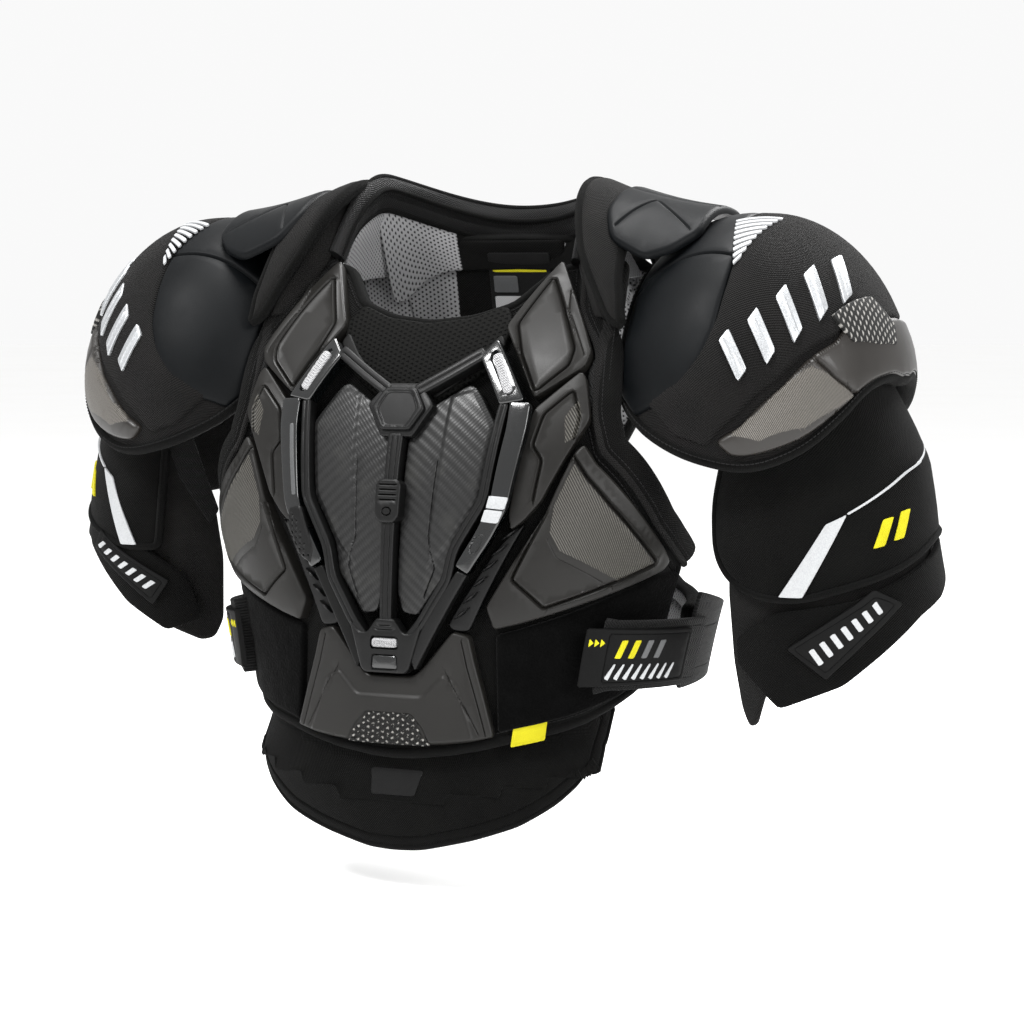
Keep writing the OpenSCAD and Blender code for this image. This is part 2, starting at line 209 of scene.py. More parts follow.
FRONT = Surface(front_point, 1.2)
BELLY = Surface(belly_point, 1.2)
STRAPS = {
    "left": Surface(strap_point, 0.9),
    "right": Surface(lambda q, z: strap_point(q, z, 2), 0.9),
}
BACK = Surface(back_point)
YOKE = Surface(lambda t, w: yoke_point(t, w) + 6 * np.cos(np.radians(t))[:, None] ** 2 * [0, 0, 1], 1.7, 42)
FLAP = Surface(flap_point)
CAP = Surface(cap_point, 1.92, 2.15, lambda m: np.cos(np.radians(m)))
ARMS = {
    "left": Surface(lambda p, z: arm_point(p, z, wide=19), 1.35),
    "right": Surface(lambda p, z: arm_point(p, z, turn=6, rise=17), 1.35),
}


# ---------- lines ----------
def fillet(points, radius, closed=True, steps=4):
    """The corners of a line rounded by short curves."""
    points = np.asarray(points, float)
    out, n = [], len(points)
    for i, c in enumerate(points):
        if not closed and i in (0, n - 1):
            out.append(c)
            continue
        a, b = points[i - 1], points[(i + 1) % n]
        la, lb = np.linalg.norm(a - c), np.linalg.norm(b - c)
        r = min(radius, 0.45 * la, 0.45 * lb)
        p, q = c + (a - c) / la * r, c + (b - c) / lb * r
        for t in np.linspace(0, 1, steps + 1):
            out.append((1 - t) ** 2 * p + 2 * t * (1 - t) * c + t**2 * q)
    return np.array(out)


def resample(line, step, closed=True):
    line = np.vstack([line, line[:1]]) if closed else np.asarray(line, float)
    length = np.concatenate([[0], np.cumsum(np.linalg.norm(np.diff(line, axis=0), axis=1))])
    n = max(3, int(round(length[-1] / step)))
    at = np.linspace(0, length[-1], n + 1)
    out = np.stack([np.interp(at, length, line[:, k]) for k in range(line.shape[1])], -1)
    return out[:-1] if closed else out


def chart_line(surface, points, corner, step, closed):
    return resample(fillet(surface.chart(points), corner, closed), step, closed)


def counter_clockwise(ring):
    x, y = ring[:, 0], ring[:, 1]
    area = (x * np.roll(y, -1) - np.roll(x, -1) * y).sum()
    return ring if area > 0 else ring[::-1]


def inside(xy, ring):
    a, b = ring, np.roll(ring, -1, 0)
    found = np.zeros(len(xy), bool)
    for (ax, ay), (bx, by) in zip(a, b):
        if ay == by:
            continue
        hit = (xy[:, 1] > min(ay, by)) & (xy[:, 1] <= max(ay, by))
        found ^= hit & (xy[:, 0] < ax + (xy[:, 1] - ay) / (by - ay) * (bx - ax))
    return found


def distance(points, line, closed):
    """How far each point is from a line, in space."""
    ends = np.roll(line, -1, 0) if closed else line[1:]
    best = np.full(len(points), np.inf)
    for a, b in zip(line, ends):
        ab = b - a
        t = np.clip(((points - a) @ ab) / max(ab @ ab, 1e-12), 0, 1)
        best = np.minimum(best, np.linalg.norm(points - a - t[:, None] * ab, axis=1))
    return best


def symmetric(low, high):
    """An outline on both sides of the centre line, from its lower and upper halves."""
    def flip(line):
        return [(-u, v) for u, v in line if u > 0]
    return flip(low)[::-1] + list(low) + list(high)[::-1] + flip(high)


def smooth(x):
    x = np.clip(x, 0, 1)
    return x * x * (3 - 2 * x)


# ---------- what lines do to a face ----------
class Groove:
    """A line pressed into a face, or a bead where the depth is negative."""

    def __init__(self, points, width=2.8, depth=1.6, closed=False, corner=2.5, lip=0.0):
        self.points, self.width, self.depth, self.lip = points, width, depth, lip
        self.closed, self.corner = closed, corner
        self.rows = [k * width for k in (-0.55, -0.35, -0.18, 0, 0.18, 0.35, 0.55)]
        if lip:
            self.rows += [k * (0.5 * width + out) for k in (-1, 1) for out in (0.7, 1.5)]

    def change(self, d, within):
        trough = -self.depth * 0.5 * (1 + np.cos(np.pi * np.clip(2 * d / self.width, 0, 1)))
        if not self.lip:
            return trough
        away = np.clip(np.abs(d - 0.5 * self.width - 0.7) / 0.8, 0, 1)
        return trough + self.lip * 0.5 * (1 + np.cos(np.pi * away))


class Region:
    """The inside of a closed line, raised or sunk, with a slope at its border."""

    def __init__(self, points, rise, slope=1.5, corner=2.5):
        self.points, self.rise, self.slope = points, rise, slope
        self.closed, self.corner = True, corner
        self.rows = [-0.4, 0, 0.5 * slope, slope, slope + 0.6]

    def change(self, d, within):
        return self.rise * smooth(np.where(within, d, 0) / self.slope)


class Face:
    """One side of a pad: its height, its rounded edge, its lines and its crown."""

    def __init__(self, level, edge=(0.0, 0.0), lines=(), crown=0.0, reach=18.0, cell=5.0, bumps=None):
        self.level, self.edge, self.lines = level, edge, lines
        self.crown, self.reach, self.cell, self.bumps = crown, reach, cell, bumps


def edge_profile(d, width, drop):
    if width <= 0:
        return 0 * d
    e = np.clip(1 - d / width, 0, 1)
    return -drop * (1 - np.sqrt(np.maximum(0, 1 - e * e)))


def triangles(ring, inner):
    """Triangles that fill a closed ring and use the inner points, with the points in order."""
    corners = [Vector(p) for p in ring] + [Vector(p) for p in inner]
    out, _, faces, origin, _, _ = delaunay_2d_cdt(corners, [], [list(range(len(ring)))], 1, 1e-5)
    order = {}
    for i, sources in enumerate(origin):
        for s in sources:
            order[s] = i
    xy = np.array([[p.x, p.y] for p in out])
    return xy, [list(f) for f in faces], [order[i] for i in range(len(ring))]


def face_mesh(surface, ring, face, sign):
    """The chart points, triangles, ring numbers and heights of one side of a pad."""
    rows = []
    width = face.edge[0]
    if width > 0:
        rows += [surface.shifted(ring, True, k * width) for k in (0.12, 0.35, 0.65, 1.0)]
    lines = []
    for line in face.lines:
        path = chart_line(surface, line.points, line.corner, 2.4, line.closed)
        if line.closed:
            path = counter_clockwise(path)
        rows += [surface.shifted(path, line.closed, k) for k in line.rows]
        lines.append((line, path, surface.base(path)))
    low, high = ring.min(0), ring.max(0)
    c = face.cell
    gx, gy = np.meshgrid(np.arange(low[0], high[0] + c, c), np.arange(low[1], high[1] + c, c * 0.866))
    gx = gx + (np.arange(gx.shape[0]) % 2)[:, None] * c / 2
    grid = np.stack([gx.ravel(), gy.ravel()], -1)
    grid = grid[inside(grid, ring)]
    ring3 = surface.base(ring)
    if len(grid):
        g3 = surface.base(grid)
        keep = distance(g3, ring3, True) > max(width, 0.3 * c) + 0.4 * c
        for line, path, path3 in lines:
            keep &= distance(g3, path3, line.closed) > max(map(abs, line.rows)) + 0.4 * c
        grid = grid[keep]
    rows = np.vstack(rows) if rows else np.zeros((0, 2))
    if len(rows):
        rows = rows[inside(rows, ring)]
        rows = rows[distance(surface.base(rows), ring3, True) > 0.08 * max(width, 1.0)]
    xy, faces, order = triangles(ring, np.vstack([rows, grid]))
    at = surface.base(xy)
    d = distance(at, ring3, True)
    h = edge_profile(d, *face.edge) + face.crown * (1 - np.exp(-d / face.reach))
    for line, path, path3 in lines:
        within = inside(xy, path) if line.closed else None
        h = h + line.change(distance(at, path3, line.closed), within)
    if face.bumps is not None:
        h = h + face.bumps(at) * smooth(d / 12)
    return xy, faces, order, face.level + sign * h


# ---------- meshes ----------
def new_object(name, points, faces, marks=None, side=1, sharp=42):
    """A mesh object from points in millimetres, with its chart as the UV map in millimetres."""
    points = np.array(points, float) * [side, 1, 1] * MM
    data = bpy.data.meshes.new(name)
    data.from_pydata(points.tolist(), [], [f if side > 0 else f[::-1] for f in faces])
    data.update()
    if marks is not None:
        layer = data.uv_layers.new(name="weave")
        corners = np.zeros(len(data.loops), np.int32)
        data.loops.foreach_get("vertex_index", corners)
        layer.data.foreach_set("uv", np.asarray(marks, float)[corners].ravel())
    data.polygons.foreach_set("use_smooth", [True] * len(data.polygons))
    if sharp:
        data.set_sharp_from_angle(angle=math.radians(sharp))
    obj = bpy.data.objects.new(name, data)
    bpy.context.collection.objects.link(obj)
    return obj


def settle(obj, look, body, stands_for=()):
    """Gives a piece its material and its body."""
    obj.data.materials.append(MATERIALS[look])
    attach(obj, body)
    if stands_for:
        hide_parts(*([stands_for] if isinstance(stands_for, str) else stands_for))
    return obj


def relief(name, surface, outline, top, under, look, body, side=1, corner=3.0, step=2.6,
           bulge=0.0, stands_for=(), fill=None, prints=(), sharp=42):
    """A pad on a surface: two modelled faces inside one outline, joined by its side."""
    ring = counter_clockwise(resample(fillet(surface.chart(outline), corner), step))
    if prints:
        top.lines = list(top.lines) + [Region(prints, 0.0, 0.3, 1.0)]
    xy1, faces1, ring1, h1 = face_mesh(surface, ring, top, 1)
    xy0, faces0, ring0, h0 = face_mesh(surface, ring, under, -1)
    points = [surface.lift(xy1, h1), surface.lift(xy0, h0)]
    marks = [xy1, xy0]
    shift = len(xy1)
    faces = list(faces1) + [[i + shift for i in f[::-1]] for f in faces0]
    ring0 = [i + shift for i in ring0]
    n = len(ring)
    if bulge:
        middle = surface.shifted(ring, True, -bulge)
        points.append(surface.lift(middle, (h1[ring1] + h0[[i - shift for i in ring0]]) / 2))
        marks.append(middle)
        waist = [shift + len(xy0) + i for i in range(n)]
        loops = [ring0, waist, ring1]
    else:
        loops = [ring0, ring1]
    for low, high in zip(loops, loops[1:]):
        faces += [[low[i], low[(i + 1) % n], high[(i + 1) % n], high[i]] for i in range(n)]
    obj = new_object(name, np.vstack(points), faces, np.vstack(marks), side, sharp)
    if prints:
        mask = obj.data.attributes.new("print", "FLOAT", "POINT")
        value = np.zeros(len(obj.data.vertices))
        region = counter_clockwise(surface.chart(prints))
        value[: len(xy1)] = inside(xy1, region)
        mask.data.foreach_set("value", value)
    return settle(obj, look, body, stands_for)


def plain(level, cell=12.0):
    return Face(level, cell=cell)


def film(level, under, cell=5.0):
    """The two faces of a thin printed mark."""
    return Face(level, (0.3, 0.3), cell=cell), plain(under)


def path_on(surface, points, h, closed=False, corner=3.0, step=3.0, shift=0.0):
    """Points and up directions along a line on a surface."""
    line = chart_line(surface, points, corner, step, closed)
    if closed:
        line = counter_clockwise(line)
    if shift:
        line = surface.shifted(line, closed, shift)
    return surface.lift(line, h), surface.slopes(line)[2], closed


def frames(points, ups, closed):
    if closed:
        along = np.roll(points, -1, 0) - np.roll(points, 1, 0)
    else:
        along = np.gradient(points, axis=0)
    along /= np.linalg.norm(along, axis=1)[:, None]
    sideways = np.cross(along, ups)
    sideways /= np.linalg.norm(sideways, axis=1)[:, None]
    return along, sideways, np.cross(sideways, along)


def oval(half_width, half_height, sides=12):
    a = np.linspace(0, 2 * np.pi, sides, endpoint=False)
    return np.stack([half_width * np.cos(a), half_height * np.sin(a)], -1)


def sweep(name, paths, profile, look, body, side=1, stands_for=(), taper=None):
    """A piece of one section along one or more lines."""
    points, faces, marks = [], [], []
    k = len(profile)
    girth = np.arange(k) * np.linalg.norm(profile[1] - profile[0])
    for line, ups, closed in paths:
        _, sideways, up = frames(line, ups, closed)
        start, n = sum(map(len, points)), len(line)
        size = (np.ones(n) if taper is None else taper)[:, None, None]
        ring = line[:, None] + (sideways[:, None] * profile[:, :1] + up[:, None] * profile[:, 1:]) * size
        points.append(ring.reshape(-1, 3))
        run = np.concatenate([[0], np.cumsum(np.linalg.norm(np.diff(line, axis=0), axis=1))])
        marks.append(np.stack([np.repeat(run, k), np.tile(girth, n)], -1))
        for i in range(n if closed else n - 1):
            a, b = start + i * k, start + (i + 1) % n * k
            faces += [[a + j, b + j, b + (j + 1) % k, a + (j + 1) % k] for j in range(k)]
        if not closed:
            faces.append([start + j for j in range(k)])
            faces.append([start + (n - 1) * k + j for j in range(k)][::-1])
    obj = new_object(name, np.vstack(points), faces, np.vstack(marks), side, 60)
    tidy_normals(obj)
    return settle(obj, look, body, stands_for)


def tidy_normals(obj):
    shape = bmesh.new()
    shape.from_mesh(obj.data)
    bmesh.ops.recalc_face_normals(shape, faces=shape.faces)
    shape.to_mesh(obj.data)
    shape.free()


def stitches(name, paths, look, body, side=1, pitch=3.4, length=2.4, radius=0.38):
    """Rows of thread stitches, each a short arched rod."""
    points, faces = [], []
    count = 0
    section = oval(radius, radius, 5)
    for line, ups, closed in paths:
        ends = np.vstack([line, line[:1]]) if closed else line
        run = np.concatenate([[0], np.cumsum(np.linalg.norm(np.diff(ends, axis=0), axis=1))])
        lift = np.vstack([ups, ups[:1]]) if closed else ups
        for s in np.arange(pitch / 2, run[-1] - pitch / 2, pitch):
            at = s + length * np.array([-0.5, -0.25, 0.25, 0.5])
            p = np.stack([np.interp(at, run, ends[:, k]) for k in range(3)], -1)
            n = np.stack([np.interp(at, run, lift[:, k]) for k in range(3)], -1)
            p = p + n * (np.array([-0.7, 0.5, 0.5, -0.7]) * radius)[:, None]
            _, sideways, up = frames(p, n, False)
            ring = p[:, None] + sideways[:, None] * section[:, :1] + up[:, None] * section[:, 1:]
            points.append(ring.reshape(-1, 3))
            for i in range(3):
                a, b = count + i * 5, count + (i + 1) * 5
                faces += [[a + j, a + (j + 1) % 5, b + (j + 1) % 5, b + j] for j in range(5)]
            faces.append([count + j for j in range(5)][::-1])
            faces.append([count + 15 + j for j in range(5)])
            count += 20
    obj = new_object(name, np.vstack(points), faces, np.vstack(points)[:, :2], side, 0)
    return settle(obj, look, body)


def strip(surface, points, width, end_width=None):
    """The outline of a band along a line, in the surface's own coordinates."""
    line = chart_line(surface, points, 6, 6, False)
    half = np.linspace(width, end_width or width, len(line)) / 2
    ring = []
    for sign in (1, -1):
        edge = np.array([surface.shifted(line, False, sign * h)[i] for i, h in enumerate(half)])
        ring.append(edge if sign > 0 else edge[::-1])
    xy = np.vstack(ring)
    u = xy[:, 0] / surface.per_u
    return np.stack([u, xy[:, 1] / surface.per_v / surface.shrink(u)], -1)


def undulate(size, height):
    """Gentle waves of padded cloth, as a function of place."""
    def bumps(p):
        x, y, z = (p / size).T
        a = np.sin(x + 1.3 * np.sin(0.7 * z + 0.4)) * np.sin(1.1 * z + 0.9 * np.sin(y))
        return height * (a + 0.5 * np.sin(2.1 * x + 1.7 * z + y))
    return bumps


# ---------- materials ----------
def linear(code):
    """A colour as the shader takes it, from its usual six figures."""
    parts = [int(code[i:i + 2], 16) / 255 for i in (0, 2, 4)]
    return [c / 12.92 if c <= 0.04045 else ((c + 0.055) / 1.055) ** 2.4 for c in parts] + [1.0]


class Paint:
    """A material made from a few kinds of node, with pattern sizes in millimetres."""

    def __init__(self, name, roughness=0.6, sheen=0.0, coat=0.0, specular=0.5, metallic=0.0):
        self.material = bpy.data.materials.new(name)
        self.material.use_nodes = True
        self.nodes, self.links = self.material.node_tree.nodes, self.material.node_tree.links
        self.shader = next(n for n in self.nodes if n.type == "BSDF_PRINCIPLED")
        sockets = self.shader.inputs
        sockets["Roughness"].default_value = roughness
        sockets["Sheen Weight"].default_value = sheen
        sockets["Sheen Roughness"].default_value = 0.5
        sockets["Coat Weight"].default_value = coat
        sockets["Coat Roughness"].default_value = 0.12
        sockets["Specular IOR Level"].default_value = specular
        sockets["Metallic"].default_value = metallic

    def add(self, kind, inputs=None, **settings):
        node = self.nodes.new(kind)
        for key, value in settings.items():
            setattr(node, key, value)
        for key, value in (inputs or {}).items():
            if isinstance(value, bpy.types.NodeSocket):
                self.links.new(value, node.inputs[key])
            else:
                node.inputs[key].default_value = value
        return node

    def weave(self):
        return self.add("ShaderNodeUVMap", uv_map="weave").outputs[0]

    def math(self, kind, a, b=0.0, clamp=False):
        node = self.add("ShaderNodeMath", {0: a, 1: b}, operation=kind)
        node.use_clamp = clamp
        return node.outputs[0]

    def parts(self, vector):
        return self.add("ShaderNodeSeparateXYZ", {0: vector}).outputs

    def noise(self, size, detail=3.0):
        """Cloudy noise in the object's own space, with clouds of a size in millimetres."""
        place = self.add("ShaderNodeTexCoord").outputs["Object"]
        inputs = {"Vector": place, "Scale": 1 / (size * MM), "Detail": detail}
        return self.add("ShaderNodeTexNoise", inputs).outputs[0]

    def wave(self, value, pitch, phase=0.0):
        turn = self.math("MULTIPLY", value, 2 * math.pi / pitch)
        return self.math("SINE", self.math("ADD", turn, phase))

    def remap(self, value, a, b, c, d):
        return self.add("ShaderNodeMapRange", {"Value": value, 1: a, 2: b, 3: c, 4: d}).outputs[0]

    def blend(self, factor, one, two):
        node = self.add("ShaderNodeMix", data_type="RGBA")
        self.links.new(factor, node.inputs[0])
        for socket, value in ((node.inputs[6], one), (node.inputs[7], two)):
            if isinstance(value, bpy.types.NodeSocket):
                self.links.new(value, socket)
            else:
                socket.default_value = linear(value)
        return node.outputs[2]

    def colour(self, value):
        self.links.new(value, self.shader.inputs["Base Color"])

    def rough(self, value):
        self.links.new(value, self.shader.inputs["Roughness"])

    def bump(self, *layers):
        """Bumps laid over each other, each (height, depth in millimetres)."""
        last = None
        for height, depth in layers:
            node = self.add("ShaderNodeBump", {"Height": height, "Distance": depth * MM, "Strength": 1.0})
            if last is not None:
                self.links.new(last, node.inputs["Normal"])
            last = node.outputs[0]
        self.links.new(last, self.shader.inputs["Normal"])


def woven(paint, pitch, ratio=1.0):
    """Crossed threads: a height that rises and falls over each thread."""
    x, y, _ = paint.parts(paint.weave())
    return paint.math("MULTIPLY", paint.wave(x, pitch), paint.wave(y, pitch * ratio))


def diagonal(paint, pitch, slant=1.0):
    x, y, _ = paint.parts(paint.weave())
    return paint.wave(paint.math("ADD", x, paint.math("MULTIPLY", y, slant)), pitch)


def foam_material(name, dark, light, rough, grain=0.05, spec=0.25, printed="4a4843"):
    """Moulded foam skin: cloudy colour, fine grain, and a printed texture where it is marked."""
    paint = Paint(name, specular=spec)
    cloud = paint.noise(38)
    tone = paint.blend(cloud, dark, light)
    mark = paint.add("ShaderNodeAttribute", attribute_name="print").outputs["Fac"]
    lines = diagonal(paint, 2.3)
    threads = paint.math("MULTIPLY", paint.remap(lines, -1, 1, 0, 1), mark)
    bright = paint.blend(threads, tone, printed)
    paint.colour(bright)
    fine = paint.noise(0.9, 2)
    paint.rough(paint.remap(cloud, 0.3, 0.7, rough - 0.06, rough + 0.08))
    paint.bump((fine, grain), (threads, 0.35))
    return paint.material


def cloth_material(name, dark, light, pitch, depth, ratio=1.0, sheen=0.02, rough=0.8, spec=0.08):
    paint = Paint(name, sheen=sheen, specular=spec)
    height = woven(paint, pitch, ratio)
    cloud = paint.noise(30)
    fuzz = paint.noise(0.7, 2)
    lift = paint.math("ADD", paint.math("MULTIPLY", height, 0.35), cloud)
    paint.colour(paint.blend(paint.remap(lift, 0.1, 0.95, 0, 1), dark, light))
    paint.rough(paint.remap(fuzz, 0.2, 0.8, rough - 0.08, rough + 0.1))
    paint.bump((height, depth), (fuzz, 0.12))
    return paint.material


def webbing_material(name, dark, light, pitch=2.2):
    """Narrow woven tape: ribs across it and chevrons along it."""
    paint = Paint(name, sheen=0.02, specular=0.15)
    x, y, _ = paint.parts(paint.weave())
    zig = paint.math("PINGPONG", y, 4.0)
    ribs = paint.wave(paint.math("ADD", x, zig), pitch)
    fuzz = paint.noise(0.8, 2)
    paint.colour(paint.blend(paint.remap(ribs, -1, 1, 0, 1), dark, light))
    paint.rough(paint.remap(fuzz, 0.2, 0.8, 0.6, 0.85))
    paint.bump((ribs, 0.3), (fuzz, 0.1))
    return paint.material


def mesh_material(name, dark, light, pitch, depth, sheen=0.02, spec=0.1):
    """Spacer mesh: rows of small open holes."""
    paint = Paint(name, sheen=sheen, specular=spec, roughness=0.7)
    x, y, _ = paint.parts(paint.weave())
    a = paint.wave(x, pitch)
    b = paint.wave(paint.math("ADD", paint.math("MULTIPLY", x, 0.5), paint.math("MULTIPLY", y, 0.866)),
                   pitch)
    c = paint.wave(paint.math("SUBTRACT", paint.math("MULTIPLY", x, 0.5), paint.math("MULTIPLY", y, 0.866)),
                   pitch, math.pi)
    dots = paint.math("ADD", paint.math("ADD", a, b), c)
    hole = paint.remap(dots, 0.4, 1.9, 0, 1)
    cloud = paint.noise(26)
    paint.colour(paint.blend(hole, paint.blend(cloud, light, light), dark))
    paint.bump((paint.math("SUBTRACT", 1.0, hole), depth))
    return paint.material


def rubber_material(name, dark, light, rough, coat=0.0, spec=0.25):
    paint = Paint(name, coat=coat, specular=spec)
    cloud = paint.noise(18)
    grain = paint.noise(0.8, 2)
    paint.colour(paint.blend(cloud, dark, light))
    paint.rough(paint.remap(grain, 0.2, 0.8, rough - 0.08, rough + 0.12))
    paint.bump((grain, 0.05), (cloud, 0.15))
    return paint.material


def composite_material(name):
    """Glossy plate over a twill of dark fibre tows."""
    paint = Paint(name, coat=0.05, specular=0.3)
    x, y, _ = paint.parts(paint.weave())
    lean = paint.math("ADD", paint.math("MULTIPLY", x, 0.8), y)
    bands = paint.wave(lean, 7.5)
    cross = paint.wave(paint.math("SUBTRACT", x, paint.math("MULTIPLY", y, 0.7)), 2.6)
    tow = paint.math("ADD", paint.math("MULTIPLY", bands, 0.75), paint.math("MULTIPLY", cross, 0.3))
    worn = paint.noise(22)
    fibre = paint.blend(paint.remap(tow, -0.9, 0.9, 0, 1), "030303", "1b1b1b")
    paint.colour(paint.blend(paint.remap(worn, 0.55, 0.75, 0, 0.5), fibre, "262624"))
    paint.rough(paint.remap(tow, -1, 1, 0.5, 0.32))
    paint.bump((tow, 0.10), (worn, 0.3))
    return paint.material


def pile_material(name):
    """Loop pile: a deep velvet that catches light at its edges."""
    paint = Paint(name, sheen=0.03, roughness=0.95, specular=0.02)
    tufts = paint.noise(1.6, 4)
    patches = paint.noise(14)
    paint.colour(paint.blend(paint.math("MULTIPLY", tufts, patches), "010101", "0b0b0b"))
    paint.bump((tufts, 0.9), (patches, 0.6))
    return paint.material


def elastic_material(name, dark, light):
    paint = Paint(name, roughness=0.6, sheen=0.05)
    height = woven(paint, 1.7, 0.75)
    fuzz = paint.noise(1.2, 2)
    paint.colour(paint.blend(paint.remap(height, -1, 1, 0, 1), dark, light))
    paint.bump((height, 0.4), (fuzz, 0.1))
    return paint.material


def film_material(name, dark, light, metallic=0.0):
    """Heat pressed film: a faint crazed sparkle."""
    paint = Paint(name, metallic=metallic, specular=0.5)
    grain = paint.noise(0.9, 3)
    paint.colour(paint.blend(grain, dark, light))
    paint.rough(paint.remap(grain, 0.2, 0.8, 0.35, 0.55))
    paint.bump((grain, 0.06))
    return paint.material


def make_materials():
    return {
        "liner_mesh": mesh_material("liner_mesh", "232324", "848485", 3.2, 0.5, 0.05),
        "woven_cloth": cloth_material("woven_cloth", "060606", "181716", 2.0, 0.5, spec=0.1),
        "satin_cloth": cloth_material("satin_cloth", "020202", "090909", 2.4, 0.25, rough=0.42, spec=0.13),
        "soft_binding": cloth_material("soft_binding", "020202", "0c0c0b", 2.2, 0.4, 0.6, spec=0.05),
        "padded_cloth": cloth_material("padded_cloth", "020202", "0a0a09", 2.0, 0.35, spec=0.05),
        "webbing": webbing_material("webbing", "030303", "141414"),
        "label_cloth": cloth_material("label_cloth", "030303", "080808", 1.4, 0.1, rough=0.45, spec=0.12),
        "spacer_mesh": mesh_material("spacer_mesh", "000000", "080807", 2.9, 0.8, 0.0, 0.06),
        "eva_foam": foam_material("eva_foam", "100f0e", "191816", 0.42, spec=0.22),
        "guard_foam": foam_material("guard_foam", "161412", "24211e", 0.38, spec=0.35, printed="6a6660"),
        "frame_rubber": rubber_material("frame_rubber", "020202", "060606", 0.42, 0.03, spec=0.2),
        "chrome": film_material("chrome", "8c8e90", "c8cacc", 0.85),
        "composite_gloss": composite_material("composite_gloss"),
        "gloss_strip": rubber_material("gloss_strip", "020303", "060708", 0.12, 0.6, spec=0.4),
        "loop_pile": pile_material("loop_pile"),
        "pale_elastic": elastic_material("pale_elastic", "6c6c6e", "c4c4c5"),
        "yellow_tab": cloth_material("yellow_tab", "98900e", "cac226", 1.3, 0.15, rough=0.6),
        "patch_rubber": rubber_material("patch_rubber", "040404", "080808", 0.6, spec=0.1),
        "navy_foam": foam_material("navy_foam", "030405", "07090b", 0.48, 0.08, spec=0.1),
        "cap_cloth": cloth_material("cap_cloth", "020202", "110f0e", 2.2, 0.7, 0.8, spec=0.12),
        "silver_film": film_material("silver_film", "808284", "b0b1b2", 0.1),
        "black_foam": foam_material("black_foam", "040404", "090908", 0.5, 0.08, spec=0.12),
        "grey_film": film_material("grey_film", "343536", "48494a"),
        "dark_thread": cloth_material("dark_thread", "0e0e0e", "242424", 1.0, 0.1),
        "honeycomb": mesh_material("honeycomb", "8a8884", "0c0c0b", 4.0, -0.8, 0.0, 0.3),
    }


MATERIALS = make_materials()

# ---------- chest ----------
CHEST_NECK = [(0, -48), (20, -44), (36, -34), (47, -8), (57, -4), (70, -42), (90, -70), (106, -116),
              (122, -142), (146, -158), (174, -178), (202, -198), (232, -214), (262, -228)]
CHEST_HEM = [(0, -358), (20, -357), (36, -355), (47, -354), (57, -352), (70, -350), (90, -346),
             (106, -343), (122, -341), (146, -338), (174, -333), (202, -326), (232, -317), (262, -306)]
CHEST_OUTLINE = symmetric(CHEST_HEM, CHEST_NECK)

UPPER_PAD = [(50, -7), (39.5, -55), (51, -76), (68, -105), (89, -82), (89, -73), (70, -41)]
UPPER_GROOVE = [(50.8, -20), (45, -54), (53, -75), (67.5, -101), (80, -82), (79, -71), (61, -38)]
MID_PAD = [(70, -113), (88, -85), (93, -91), (106, -119), (102.5, -134), (92, -177), (84, -190),
           (76, -198), (72.5, -186), (71, -140)]
MID_GROOVES = [
    [(100.5, -132), (99, -118), (88.5, -99), (77, -116), (76.5, -138), (85, -148), (86.5, -176)],
]
SIDE_PAD = [(67, -252), (75, -268), (92, -264), (222, -228), (227, -221), (215, -212), (190, -196),
            (172, -184), (144, -165), (122, -150), (108, -136), (104, -142), (97, -186), (92, -198)]
SIDE_GROOVE = [(104.5, -145), (118, -159), (141, -177), (172, -198), (208, -221), (111, -252),
               (83, -232), (94, -198), (98, -184)]
SIDE_PRINT = [(107, -150), (118, -161), (141, -179), (172, -200), (203, -221), (172, -233), (114, -211),
              (104, -199), (102, -180)]
BASE_HALF_TOP = [(0, -303), (17, -303), (24, -297), (45, -270), (57, -273), (63, -291), (83, -341)]
BASE_HALF_HEM = [(0, -352), (20, -352), (45, -350), (63, -348), (83, -344)]
PLATE = [(5, -135), (9, -132), (14, -113), (32, -96), (36, -98), (53, -125), (53, -177), (39, -210),
         (37, -231), (20, -260), (9, -258), (5, -243)]
LOOP_PANEL = [(76, -272), (92, -268), (222, -233), (258, -233), (258, -302), (205, -319), (150, -330),
              (100, -338), (86, -341)]
STRAP_MID = -285.0


def chest_panel():
    top = Face(-9.5, (5, 4), [Groove([(q, z - 9) for q, z in CHEST_NECK[7:]], 3, 1.5)], cell=9)
    top.lines += [Groove([(-q, z) for q, z in top.lines[0].points], 3, 1.5)]
    quilt = [Groove([(k * 70, -90), (k * 62, -330)], 9, 3) for k in (-2, -1, 1, 2)]
    quilt += [Groove([(-240, -250), (0, -262), (240, -250)], 9, 3)]
    under = Face(LINER_LOW, (5, 4), quilt, cell=9, bumps=undulate(17, 0.5))
    relief("chest_liner_panel", FRONT, CHEST_OUTLINE, top, under, "padded_cloth", "chest",
           corner=5, stands_for="chest_liner", fill=0.5)
    edge = path_on(FRONT, CHEST_OUTLINE, -14.2, True, 5, 3)
    sweep("chest_binding", [edge], oval(4.2, 6.4, 14), "soft_binding", "chest")
    rows = [path_on(FRONT, CHEST_OUTLINE, -8.9, True, 5, 3, 5.5)]
    stitches("chest_binding_stitches", rows, "dark_thread", "chest")
    armhole = [(57, 0)] + CHEST_NECK[5:]
    for name, side in SIDES:
        sweep(f"armhole_roll_{name}", [path_on(FRONT, armhole, -10, False, 8, 3, 9.5)], oval(9.5, 6.0, 16),
              "soft_binding", "chest", side)
        sweep(f"armhole_piping_{name}", [path_on(FRONT, armhole, -6.5, False, 8, 3, 1.0)],
              oval(2.6, 2.6, 10),
              "woven_cloth", "chest", side)
        stitches(f"armhole_stitches_{name}", [path_on(FRONT, armhole, -4.4, False, 8, 3, 6.0)],
                 "dark_thread", "chest", side)


